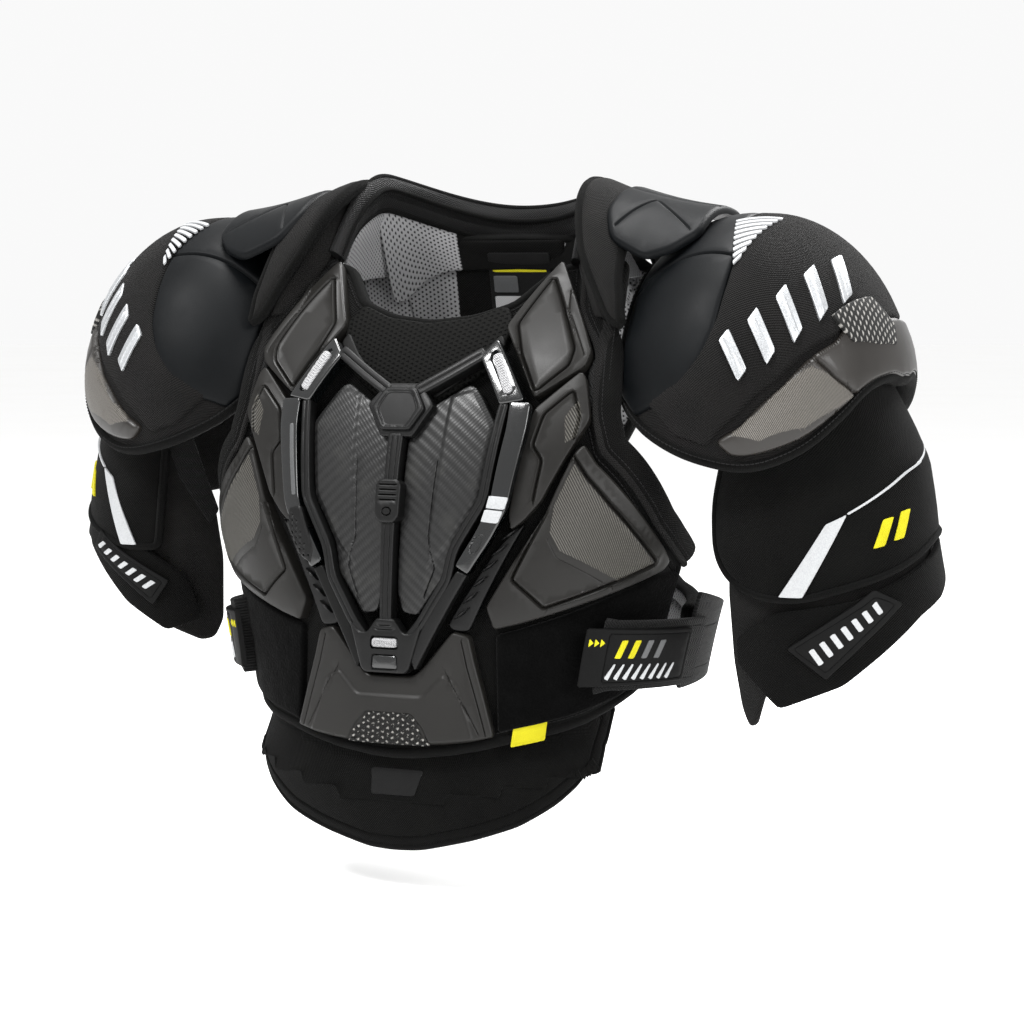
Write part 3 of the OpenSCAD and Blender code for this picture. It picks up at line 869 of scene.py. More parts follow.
def shoulder_strips():
    """The stretch panel and the padded band that join the chest to the yoke."""
    knit = [(53, -2), (62, 0), (76, -18), (88, -52), (103, -96), (108, -118), (98, -104), (90, -84),
            (90, -72),
            (72, -40)]
    band = [(62, 0), (77, -4), (88, -34), (97, -66), (103, -102), (102, -112), (97, -96), (84, -56),
            (73, -20)]
    for name, side in SIDES:
        relief(f"shoulder_knit_{name}", FRONT, knit, Face(-5.5, (3, 2), (), 0.8, 8, 6), plain(-12),
               "webbing", "chest", side, 3)
        relief(f"shoulder_band_{name}", FRONT, band, Face(-4.6, (4, 3.5), (), 1.4, 8, 6, undulate(14, 0.4)),
               plain(-12),
               "woven_cloth", "chest", side, 3)
        ladder = [path_on(FRONT, [(66, -6), (79, -28), (89, -56), (101, -92)], -4.6, False, 4, 3,
                          k) for k in (-1.6, 1.6, 6.0)]
        stitches(f"shoulder_stitches_{name}", ladder, "dark_thread", "chest", side, 2.6, 1.8, 0.45)


def eva_pads():
    for name, side in SIDES:
        crease = Groove([(85, -74), (66.5, -44), (62, -30)], 1.6, 0.8)
        relief(f"upper_pad_{name}", FRONT, UPPER_PAD,
               Face(0.6, (1.5, 1.8), [Groove(UPPER_GROOVE, 2.2, 2.4, True, lip=0.7), crease], 0.5, 10, 5),
               plain(PAD_LOW), "eva_foam", "chest", side,
               stands_for=f"upper_chest_pad_{name}", fill=0.9)
        relief(f"mid_pad_{name}", FRONT, MID_PAD,
               Face(0, (1.5, 1.8), [Groove(g, 2.2, 2.2, lip=0.6) for g in MID_GROOVES], 0.5, 10, 5),
               plain(PAD_LOW), "eva_foam", "chest", side, stands_for=f"mid_chest_pad_{name}", fill=0.9,
               prints=[(94, -106), (100, -117), (101.5, -131), (96, -136), (90, -118)])
        facet = Groove([(103, -203), (113, -216), (168, -238)], 1.4, 0.5)
        relief(f"side_pad_{name}", FRONT, SIDE_PAD,
               Face(0, (2.0, 2.4), [Groove(SIDE_GROOVE, 2.2, 2.4, lip=0.7), facet], 1.4, 8, 5),
               plain(PAD_LOW), "eva_foam", "chest", side,
               stands_for=f"side_chest_pad_{name}", fill=0.9, prints=SIDE_PRINT)


def base_pad():
    raised = symmetric([(0, -353), (20, -353), (70, -348)], [(0, -316), (25, -316), (40, -300), (52, -306)])
    patch = [(-18, -329), (18, -329), (27, -338), (36, -353), (-36, -353), (-27, -338)]
    lines = [Region(raised, 1.6, 3.0), Region(patch, -1.4, 1.2)]
    for k in (1, -1):
        lines.append(Groove([(k * 42, -299), (k * 71, -342)], 1.6, 0.9))
        lines.append(Groove([(k * 52, -277), (k * 58, -296), (k * 77, -343)], 1.6, 1.2))
    relief("sternum_pad", FRONT, symmetric(BASE_HALF_HEM, BASE_HALF_TOP),
           Face(-0.6, (2.2, 2.4), lines, 0.4, 10, 4.5), plain(PAD_LOW), "eva_foam", "chest",
           stands_for="sternum_base_pad", fill=0.9)
    points, faces = [], []
    xs = np.arange(-33, 34, 3.4)
    for j, z in enumerate(np.arange(-350.5, -330, 3.3)):
        for i, q in enumerate(xs):
            half = 17 + (-330 - z) * 0.78
            if abs(q + (j % 2) * 1.7) > half:
                continue
            turn = 1 if (i + j) % 2 else -1
            a = np.array([[-1.5, -0.9 * turn], [0, 0.9 * turn], [1.5, -0.9 * turn]]) + [q + (j % 2) * 1.7,
                                                                                        z]
            add_chevron(points, faces, a)
    obj = new_object("sternum_grip", points, faces, np.array(points)[:, ::2], 1, 30)
    tidy_normals(obj)
    settle(obj, "honeycomb", "chest")


def add_chevron(points, faces, line, half=0.55, low=-2.2, high=0.9):
    """A small raised tread bar along three chart points."""
    xy = FRONT.chart(line)
    start = len(points)
    for sign in (-1, 1):
        edge = FRONT.shifted(xy, False, sign * half)
        for h in (low, high):
            points += FRONT.lift(edge, np.full(len(edge), h)).tolist()
    n = len(line)
    rows = [start + k * n for k in range(4)]
    for i in range(n - 1):
        for a, b in ((0, 1), (1, 3), (3, 2), (2, 0)):
            faces.append([rows[a] + i, rows[a] + i + 1, rows[b] + i + 1, rows[b] + i])
    for i in (0, n - 1):
        faces.append([rows[0] + i, rows[1] + i, rows[3] + i, rows[2] + i])


def loop_panels():
    for name, side in SIDES:
        relief(f"pile_panel_{name}", FRONT, LOOP_PANEL,
               Face(-4.6, (2.5, 2.0), (), 0.5, 8, 4.5, undulate(2.4, 0.25)), plain(PAD_LOW),
               "loop_pile", "chest", side, stands_for=f"loop_panel_{name}", fill=0.5)


def neck_bib():
    bib = symmetric([(0, -112), (12, -112), (30, -92), (39, -80)],
                    [(0, -50), (20, -46), (34, -37), (42, -52)])
    relief("neck_bib", FRONT, bib, Face(-4.5, (3, 2), (), 1.2, 10, 7), plain(-9.6),
           "spacer_mesh", "chest", stands_for="neck_mesh", fill=0.5)
    for name, side in SIDES:
        wing = [(38, -58), (42, -66), (36, -80), (14, -106), (9, -103), (22, -88), (31, -74)]
        relief(f"bib_wing_{name}", FRONT, wing, Face(-2.5, (2, 1.6), (), 0.4, 8, 6), plain(-9.6),
               "black_foam", "chest", side)


# ---------- chest frame ----------
WINDOW = [(41, -67), (35.5, -80), (53, -112), (66, -109)]
WINDOW_HOLE = [(42, -74), (40, -80), (54.5, -106), (60, -105)]
RAIL = [(55, -110), (56, -150), (56.5, -178), (42.5, -212), (40, -234), (24, -266), (16, -276)]
HUB_TOP = [(0, -262), (6, -262), (13, -272), (19, -272), (27, -262)]
HUB_HEM = [(0, -301), (15, -301), (18, -298)]
STRIP_PATH = [(64, -110), (66.5, -128), (67, -182), (61, -202), (50, -226)]


def frame_part(name, outline, top, look, side=1, low=FRAME_LOW, corner=1.5, chamfer=1.8, lines=(), **more):
    return relief(name, FRONT, outline, Face(top, (chamfer, chamfer), lines, cell=5), plain(low),
                  look, "chest", side, corner, 2.2, **more)


def chest_frame():
    badge = [(-14.5, -116), (-8, -102), (8, -102), (14.5, -116), (8, -131), (-8, -131)]
    inner = [(-11, -116.3), (-6.3, -105), (6.3, -105), (11, -116.3), (6.3, -128.5), (-6.3, -128.5)]
    collar = [(-18, -113), (-9, -98), (9, -98), (18, -113), (9, -135), (-9, -135)]
    frame_part("frame_collar", collar, 7.2, "frame_rubber", stands_for="chest_frame")
    frame_part("blank_badge", badge, 10.6, "frame_rubber",
               lines=[Region(inner, -1.0, 0.8), Groove(inner, 1.2, 0.7, True)],
               stands_for="hex_badge")
    spine = [(-4.2, -132), (4.2, -132), (4.2, -164), (4.2, -193), (4.2, -268), (-4.2, -268), (-4.2, -193),
             (-4.2, -164)]
    frame_part("frame_spine", spine, 7.6, "frame_rubber",
               lines=[Groove([(1.6, -136), (1.6, -262)], 1.0, 0.5),
                      Groove([(-1.6, -136), (-1.6, -262)], 1.0, 0.5)])
    clip = [(-7.5, -168), (-5, -164.5), (5, -164.5), (7.5, -168), (7.5, -190), (4.5, -195), (-4.5, -195),
            (-7.5, -190)]
    ribs = [Groove([(-4.6, z), (4.6, z)], 1.6, 1.3) for z in (-168.5, -172, -175.5, -179)]
    stud = [(3 * math.sin(a), -187 + 3 * math.cos(a)) for a in np.linspace(0, 2 * math.pi, 12,
                                                                           endpoint=False)]
    frame_part("spine_buckle", clip, 10.6, "frame_rubber", lines=ribs + [Groove(stud, 1.2, 1.2, True)],
               stands_for="spine_clip")
    hub = symmetric(HUB_HEM, HUB_TOP)
    slot = [(-10, -274.5), (10, -274.5), (10.6, -284), (-10.6, -284)]
    plate = [(-9.6, -287.5), (9.6, -287.5), (10.5, -299), (-10.5, -299)]
    mark = [Groove([(-5, -270), (5, -270)], 1.4, 0.7), Groove([(-3.6, -267), (3.6, -267)], 1.4, 0.7)]
    frame_part("frame_hub", hub, 8.2, "frame_rubber",
               lines=[Region(slot, -3.6, 0.8), Region(plate, -1.4, 0.8)] + mark)
    frame_part("hub_window", [(-9.2, -288), (9.2, -288), (10, -298.5), (-10, -298.5)], 7.8, "gloss_strip",
               low=5)
    ribs = [Groove([(q, -276.4), (q, -282.4)], 0.9, 0.7) for q in np.arange(-7.5, 8, 1.25)]
    relief("elastic_bar_hub", FRONT, [(-9, -276.2), (9, -276.2), (9, -282.6), (-9, -282.6)],
           Face(9.6, (2.0, 2.0), ribs, 0, 8, 2.5), plain(4), "pale_elastic", "chest", 1, 2.5, 1.4,
           stands_for="lace_bars")
    for name, side in SIDES:
        arm = strip(FRONT, [(7, -104), (22, -91), (37, -76)], 9.5)
        frame_part(f"frame_arm_{name}", arm, 7.8, "frame_rubber", side,
                   lines=[Groove([(9, -102), (22, -90.5), (34, -79)], 1.4, 0.7)])
        frame_part(f"frame_window_{name}", WINDOW, 8.6, "gloss_strip", side,
                   lines=[Region(WINDOW_HOLE, -3.0, 1.0)])
        elastic = strip(FRONT, [(43.2, -78), (56.2, -104)], 7.4)
        ribs = [Groove([(43.2 + 13 * t - 2.3, -78 - 26 * t - 1.6),
                        (43.2 + 13 * t + 2.3, -78 - 26 * t + 1.6)], 0.9, 0.7)
                for t in np.linspace(0.08, 0.92, 14)]
        relief(f"elastic_bar_{name}", FRONT, elastic, Face(9.8, (2.0, 2.0), ribs, 0, 8, 2.5), plain(3),
               "pale_elastic", "chest", side, 2.5, 1.4)
        rail = strip(FRONT, RAIL, 7.5)
        frame_part(f"frame_rail_{name}", rail, 7.2, "frame_rubber", side,
                   lines=[Groove(RAIL[:-1], 1.4, 0.6)],
                   stands_for="chest_frame")
        band = strip(FRONT, STRIP_PATH, 15.5, 11)
        frame_part(f"gloss_band_{name}", band, 8.4, "gloss_strip", side, chamfer=1.4,
                   stands_for=f"flank_strip_{name}",
                   lines=[Region([(55, -203), (62, -200), (59.5, -213), (52.5, -215)], -1.2, 0.8)])
        tail = [(46.5, -226), (54, -229), (22, -299), (16.5, -288), (27, -264)]
        frame_part(f"band_tail_{name}", tail, 6.4, "black_foam" if side < 0 else "frame_rubber", side)
        if side > 0:
            for k, (hi, lo) in enumerate(((-174, -182.5), (-183.5, -192))):
                flag = [(60.6 - k, hi), (72.6 - 1.6 * k, hi - 1), (71.6 - 2.4 * k, lo - 1),
                        (60 - 1.6 * k, lo)]
                relief(f"band_flag_{k}", FRONT, flag, *film(8.9, 7.6), "silver_film", "chest",
                       side, 0.5, 2)
        else:
            # Painted highlight: this pale grey film strip on the far side's glossy band stands for the
            # light that band reflects, not for a real inlay.
            painted_highlight = strip(FRONT, [(63.5, -128), (64, -150), (64, -178)], 3.4)
            relief("band_painted_highlight", FRONT, painted_highlight, Face(9.0, (0.6, 0.6)), plain(7.6), "grey_film", "chest",
                   side, 0.8, 2)
            vent_patch(side)


def vent_patch(side):
    port = [(59, -185), (68, -187), (71, -198), (63, -220), (54, -226), (51, -214), (56, -198)]
    dots = []
    for i, z in enumerate(np.arange(-220, -188, 4.0)):
        for j in range(4):
            q = 55 + (z + 220) * 0.3 + j * 3.3 + (i % 2) * 1.6
            if 53 + (z + 220) * 0.3 < q < 66.5 + (z + 220) * 0.1:
                dots.append((q, z))
    holes = []
    for q, z in dots:
        turns = np.linspace(0, 2 * math.pi, 6, endpoint=False)
        holes.append(Region([(q + 1.0 * math.cos(a), z + 1.3 * math.sin(a)) for a in turns], -1.6, 0.4,
                            0.3))
    frame_part("vent_patch", port, 9.6, "frame_rubber", side, lines=holes)


def composite_plates():
    for name, side in SIDES:
        ridge = Region([(24, -104), (36, -99), (52, -126), (52, -176), (38, -209), (24, -228), (25, -160)],
                       1.2, 3.0)
        lines = [ridge, Groove([(24, -150), (24, -205), (30, -226), (24, -246)], 1.5, 1.0)]
        relief(f"composite_{name}", FRONT, PLATE, Face(0.4, (1.6, 1.6), lines, 1.0, 12, 5),
               plain(PAD_LOW), "composite_gloss", "chest", side, stands_for=f"composite_plate_{name}")


def rib_fins():
    for name, side in SIDES:
        floor = [(85, -192), (76, -200), (69, -210), (50, -246), (40, -266), (46, -270), (56, -270),
                 (62, -254)]
        relief(f"rib_floor_{name}", FRONT, floor, Face(-3.2, (1.5, 1.5), cell=6), plain(PAD_LOW),
               "frame_rubber", "chest", side, stands_for=f"rib_pad_{name}")
        for k in range(6):
            t = k / 5
            a = np.array([82, -195]) * (1 - t) + np.array([56, -252]) * t
            b = np.array([70.5, -205]) * (1 - t) + np.array([44.5, -262]) * t
            middle, along = (a + b) / 2, b - a
            wide = np.array([along[1], -along[0]]) / np.linalg.norm(along) * 1.5
            fin = [a, middle + wide, b, middle - wide]
            relief(f"rib_fin_{k}_{name}", FRONT, fin, Face(0.6, (1.6, 2.4), cell=3), plain(-4),
                   "frame_rubber",
                   "chest", side, 1.0, 1.6)


def hem_tab():
    relief("hem_tab", FRONT, [(98, -351), (99, -333), (130, -329), (130, -346)],
           Face(-6.6, (0.5, 0.5), [Groove([(100, -349), (100.8, -335), (128.5, -331.5), (128.5, -344.5)],
                                          0.8, 0.25, True)]),
           plain(-8), "yellow_tab", "chest", 1, 1.2, 1.6, stands_for="size_tab")


def build_chest():
    chest_panel()
    shoulder_strips()
    eva_pads()
    base_pad()
    loop_panels()
    neck_bib()
    composite_plates()
    chest_frame()
    rib_fins()
    hem_tab()


# ---------- belly extension ----------
EXTENSION_TOP_EDGE = [(0, -322), (40, -322), (100, -320), (150, -316), (180, -312), (204, -307),
                      (222, -302)]
EXTENSION_HEM = [(0, -428), (20, -427), (60, -418), (100, -407), (140, -391), (166, -378), (184, -364),
                 (204, -341), (221, -318)]


def build_extension():
    outline = symmetric(EXTENSION_HEM, EXTENSION_TOP_EDGE)
    inner = symmetric([(q * 0.955, z + 8) for q, z in EXTENSION_HEM],
                      [(q * 0.955, z - 2) for q, z in EXTENSION_TOP_EDGE])
    lines = [Groove(inner, 3.0, 1.4, True, 6)]
    relief("extension_cushion", BELLY, outline, Face(EXTENSION_TOP + 0.5, (5, 5), lines, 1.5, 14, 8,
                                                     undulate(19, 0.5)),
           Face(EXTENSION_LOW, (5, 5), (), 0.5, 14, 12, undulate(21, 0.5)), "padded_cloth", "extension",
           corner=8, stands_for="extension_pad", fill=0.6)
    sweep("extension_binding", [path_on(BELLY, outline, -28, True, 8, 3)], oval(2.6, 6.2, 12),
          "soft_binding", "extension")
    label = [(-21, -364), (21, -364), (17, -382), (-17, -382)]
    relief("extension_label", BELLY, label, Face(EXTENSION_TOP + 2.6, (0.5, 0.4), cell=6),
           plain(EXTENSION_TOP - 1),
           "label_cloth", "extension", 1, 1.5, 2)


# ---------- back ----------
BACK_HALF = [(0, -330), (60, -330), (100, -328), (146, -321), (202, -312), (262, -300), (262, -262),
             (200, -258),
             (146, -250), (100, -230), (74, -204), (62, -176), (66, -152), (84, -124), (112, -92),
             (136, -50),
             (134, -16), (100, -11), (80, 5), (60, 12), (0, 13)]


def build_back():
    outline = BACK_HALF + [(-q, z) for q, z in BACK_HALF[::-1] if q > 0]
    seams = []
    for k in (1, -1):
        seams += [Groove([(k * 36, 10), (k * 36, -326)], 4, 2.5),
                  Groove([(k * 36, -46), (k * 80, -78), (k * 96, -12)], 3, 2.0),
                  Groove([(k * 80, -78), (k * 112, -96)], 3, 2.0),
                  Groove([(k * 36, -240), (k * 190, -270)], 6, 3)]
    outside = [Groove([(k * 62, 4), (k * 52, -150), (k * 66, -322)], 5, 2.5) for k in (1, -1)]
    outside += [Groove([(k * 120, -240), (k * 126, -318)], 5, 2.5) for k in (1, -1)]
    relief("back_liner_panel", BACK, outline, Face(-12, (4, 3), cell=12),
           Face(-18, (5, 4), seams, 1.5, 12, 8, undulate(16, 0.4)), "liner_mesh", "back", corner=6,
           stands_for="back_liner", fill=0.5)
    relief("back_cover", BACK, outline, Face(-6.8, (3, 2.4), outside, 1.5, 12, 8, undulate(18, 0.5)),
           plain(-11.4),
           "padded_cloth", "back", corner=6)
    sweep("back_binding", [path_on(BACK, outline, -12.5, True, 6, 3)], oval(3.2, 6.4, 14), "soft_binding",
          "back")
    inner_strip = [(-34, 12.5), (49, 12), (49, -90), (34, -130), (34, -300), (-34, -300)]
    relief("spine_channel", BACK, inner_strip, plain(-17.5, 10), Face(-20.2, (3, 1.5), (), 0.6, 10, 8),
           "padded_cloth", "back", corner=3)
    relief("neck_label", BACK, [(-23, -46), (23, -46), (23, 3), (-23, 3)], plain(-19.5),
           Face(-21.4, (0.5, 0.4), cell=8),
           "label_cloth", "back", 1, 1.0, 2, stands_for="size_label")
    for k, (lo, hi, q0, q1, look) in enumerate(((-12, -9, 20, -20, "yellow_tab"),
                                                (-28, -15, 20, 2, "grey_film"),
                                                (-42, -31, 20, -20, "pale_elastic"))):
        relief(f"neck_label_block_{k}", BACK, [(q0, lo), (q1, lo), (q1 + 0.5, hi), (q0, hi)], plain(-21.0),
               Face(-21.9, (0.3, 0.2), cell=8), look, "back", 1, 0.6, 2)
    relief("spine_guard", BACK, [(-34, -290), (-22, -312), (22, -312), (34, -290), (34, -60), (22, -26),
                                 (-22, -26), (-34, -60)],
           Face(3, (4, 4), [Groove([(-20, z), (0, z - 8), (20, z)], 4, 2) for z in range(-60, -300, -34)],
                1.0, 12, 5),
           plain(-8), "black_foam", "back", corner=6, stands_for="spine_plate", fill=0.8)
    for name, side in SIDES:
        shoulder = [(-70, -138), (-92, -126), (-110, -106), (-124, -86), (-138, -50), (-132, -20),
                    (-102, -16), (-74, -2)]
        inset = [(-76, -128), (-90, -116), (-106, -98), (-117, -80), (-130, -48), (-124, -27), (-104, -23),
                 (-78, -10)]
        relief(f"shoulder_blade_pad_{name}", BACK, shoulder,
               Face(1.5, (3.5, 3.5), [Groove(inset, 3, 2, True, 5),
                                      Groove([(-78, -78), (-128, -40)], 3, 2)], 0.8, 12, 6),
               plain(-8), "black_foam", "back", side, 6, stands_for=f"back_shoulder_pad_{name}", fill=0.8)
        lower = [(-40, -314), (-66, -318), (-112, -304), (-112, -250), (-66, -206), (-40, -186)]
        low_inset = [(-47, -306), (-68, -309), (-104, -297), (-104, -254), (-66, -216), (-47, -198)]
        relief(f"kidney_pad_{name}", BACK, lower,
               Face(1.5, (3.5, 3.5), [Groove(low_inset, 3, 2, True, 5)], 0.8, 12, 6),
               plain(-8), "black_foam", "back", side, 6, stands_for=f"lower_back_pad_{name}", fill=0.8)


def collar_line(s):
    a = np.radians(s)
    dip = 34 * (np.maximum(0, np.abs(s) - 70) / 42) ** 2
    past = np.maximum(0, np.abs(s) - 90) * 0.22
    wide = np.sign(s) * (93 * np.sin(np.minimum(np.abs(a), np.pi / 2)) + past)
    rise = np.where(s > 0, 18, 26)
    return np.stack([wide, 12 + 80 * np.cos(a), 19 + rise * np.sin(a) ** 2 - dip], -1)


def ruled(one, two, bow=(0, 0, 0)):
    """A surface between two lines of points, with u and v from 0 to 100."""
    one, two, bow = np.array(one, float), np.array(two, float), np.array(bow, float)

    def at(u, v):
        ends = []
        for line in (one, two):
            k = np.linspace(0, 100, len(line))
            ends.append(np.stack([np.interp(u, k, line[:, i]) for i in range(3)], -1))
        v = np.reshape(v, (-1, 1)) / 100
        return ends[0] * (1 - v) + ends[1] * v + bow * 4 * v * (1 - v)

    return at


SHEET = [(1, 1), (99, 1), (99, 99), (1, 99)]


def collar():
    s = np.linspace(-118, 118, 96)
    line, a = collar_line(s), np.radians(s)
    ups = np.tile([0.0, 0.0, 1.0], (len(line), 1))
    size = 1 - 0.3 * smooth((np.abs(s) - 84) / 30)
    sweep("collar_pad", [(line, ups, False)], oval(5.5, 13.5, 24), "satin_cloth", "back",
          stands_for="collar_roll",
          taper=size)
    for k, (h, out) in enumerate(((13.0, 0.0), (-12.5, -2.0), (3.0, -5.6))):
        shift = np.stack([np.sin(a), np.cos(a), 0 * a], -1) * out + ups * h
        sweep(f"collar_piping_{k}", [(line + shift * size[:, None], ups, False)], oval(2.2, 2.2, 8),
              "soft_binding",
              "back", taper=size)
    neck_lining("left", 34, 84, "liner_mesh")
    neck_lining("middle", -36, 36, "padded_cloth")
    neck_lining("right", -84, -34, "liner_mesh")


def neck_lining(part, low_turn, high_turn, look):
    """A panel that hangs inside the neck from the collar and covers the top of the back."""
    s = np.linspace(low_turn, high_turn, 40)
    q = -1.36 * s
    edge = np.interp(np.abs(q), [0, 60, 80, 100, 136], [13, 12, 5, -11, -16])
    low = back_point(q, edge - 28) * [0.86, 0.785, 1]
    skin = Surface(ruled(collar_line(s) - [0, 0, 9], low, (0, -1, 0)), 0.0145 * (high_turn - low_turn), 0.5)
    relief(f"neck_lining_{part}", skin, SHEET, Face(1.5, (1, 1), cell=8),
           Face(-1.5, (2, 1.5), (), 1.0, 10, 7, undulate(16, 0.4)), look, "back", corner=3, fill=0.5)


def gussets():
    """The padded pieces between the collar, the chest and each yoke."""
    top = collar_line(np.linspace(76, 104, 30)) - [0, 0, 7]
    bottom = resample(fillet([(106, 74, -20), (109, 40, -22), (109, 12, -26), (110, -2, -27)], 10, False),
                      4, False)
    for name, side in SIDES:
        skin = Surface(ruled(top, bottom, (2, 0, 0)), 1.0, 0.45)
        relief(f"shoulder_lining_{name}", skin, SHEET, Face(1, (1, 1), (), 0.8, 8, 7),
               Face(-2, (1, 1), (), 0.8, 8, 7), "liner_mesh", "back", side, 3, fill=0.5)
    inner = resample(fillet([(95, 22, 36), (96, 0, 30), (98, -18, 12), (99, -28, -2), (104, -34, -14),
                             (114, -44, -34), (124, -54, -52)], 12, False), 4, False)
    t = np.linspace(-4, 84, len(inner))
    outer = yoke_point(t, 0 * t + 0.18)
    for name, side in SIDES:
        skin = Surface(ruled(inner, outer, (0, -3, 2)), 1.2, 0.25)
        relief(f"yoke_gusset_{name}", skin, SHEET, Face(-2, (2, 2), (), 1.5, 8, 6, undulate(13, 0.5)),
               Face(-7, (2, 2), cell=8), "woven_cloth", "back", side, 3, fill=0.6)


def build_yokes():
    outline = [(-66, 0.02), (58, 0.02), (82, 0.4), (85, 0.75), (72, 0.98), (-66, 0.98)]
    for name, side in SIDES:
        relief(f"yoke_pad_{name}", YOKE, outline, Face(5.5, (6, 5), (), 2.0, 9, 6, undulate(15, 0.5)),
               Face(-5.5, (6, 5), (), 1.0, 9, 8), "woven_cloth", "back", side, 4, 2.6,
               stands_for=f"yoke_{name}", fill=0.7)
        sweep(f"yoke_binding_{name}", [path_on(YOKE, outline, 0, True, 4, 3)], oval(3.6, 5.0, 12),
              "soft_binding",
              "back", side)


# ---------- straps ----------
def build_straps():
    for name, side in SIDES:
        strap = STRAPS[name]
        tab = [(166, -313), (178, -310), (268, STRAP_MID - 24), (268, STRAP_MID + 24), (178, -260),
               (166, -258)]
        seams = [Groove([(172, z), (262, z)], 1.2, 0.5) for z in (-266, -304)]
        relief(f"strap_webbing_{name}", strap, tab, Face(5.2, (0.8, 0.8), seams),
               plain(2.2 if side > 0 else -4.4),
               "webbing", f"strap_{name}", side, 2, 2.4, stands_for=f"strap_tab_{name}")
        patch = [(152, -307), (152, -265), (246, -266), (246, -304)]
        border = [(171, -303.5), (171, -268.5), (243, -269), (243, -301.5)]
        relief(f"strap_badge_{name}", strap, patch,
               Face(9.6, (1, 1), [Groove(border, 1.2, 0.6, True, 1)], cell=6),
               plain(5.6), "patch_rubber", f"strap_{name}", side, 1.5, 2.2,
               stands_for=f"strap_patch_{name}")
        for k in range(3):
            q = 155.5 + k * 4.6
            tri = [(q, -272), (q, -278), (q + 3.8, -275)]
            relief(f"strap_arrow_{k}_{name}", strap, tri, *film(10.1, 8.8), "yellow_tab",
                   f"strap_{name}", side, 0.4, 1)
        for k, look in enumerate(("yellow_tab", "yellow_tab", "grey_film", "grey_film")):
            q = 178 + k * 11
            mark = [(q, -286), (q + 5, -286), (q + 9, -273), (q + 4, -273)]
            relief(f"strap_accent_{k}_{name}", strap, mark, *film(10.1, 8.8), look, f"strap_{name}",
                   side, 0.4, 1.4)
        for k in range(8):
            q = 174 + k * 7.5
            dash = strip(strap, [(q + 5.5, -290), (q + 4.0, -293), (q, -301)], 1.2, 3.0)
            relief(f"strap_dash_{k}_{name}", strap, dash, *film(10.1, 8.8), "silver_film",
                   f"strap_{name}", side, 0.3, 1.4)
        elastic = [(258, -314), (398, -305), (398, -263), (330, -256), (258, -244)]
        seams = [Groove([(262, z), (398, z)], 1.2, 0.5) for z in (-270, -300)]
        relief(f"strap_elastic_{name}", strap, elastic, Face(0.4, (0.8, 0.8), seams), plain(-2.4),
               "webbing", "back",
               side, 2, 2.6, stands_for=f"side_strap_{name}")


# ---------- shoulder caps ----------
BAND_INNER = [(-41, -86), (-30, -94), (-18, -90), (-8, -85), (0, -76), (4, -66), (5, -53), (5, -39),
              (1, -24), (-1, 0),
              (1, 24), (5, 39), (5, 53), (4, 66), (0, 76), (-8, 85), (-18, 90), (-30, 94), (-41, 86)]
BAND_OUTER = [(2, -107), (15, -96), (30, -83), (40, -70), (48, -60), (51, -49), (57, -38), (62, -20),
              (63, 0),
              (62, 20), (57, 38), (51, 49), (48, 60), (40, 70), (30, 83), (15, 94), (2, 101)]
RIM_FRONT = [(-44, -86), (-30, -98), (-10, -105), (19, -111), (41, -106), (55, -95), (63, -83), (74, -64),
             (83, -30)]
RIM_BACK = [(-44, 86), (-30, 97), (-10, 100), (19, 104), (41, 100), (55, 92), (63, 83), (74, 64), (83, 30)]


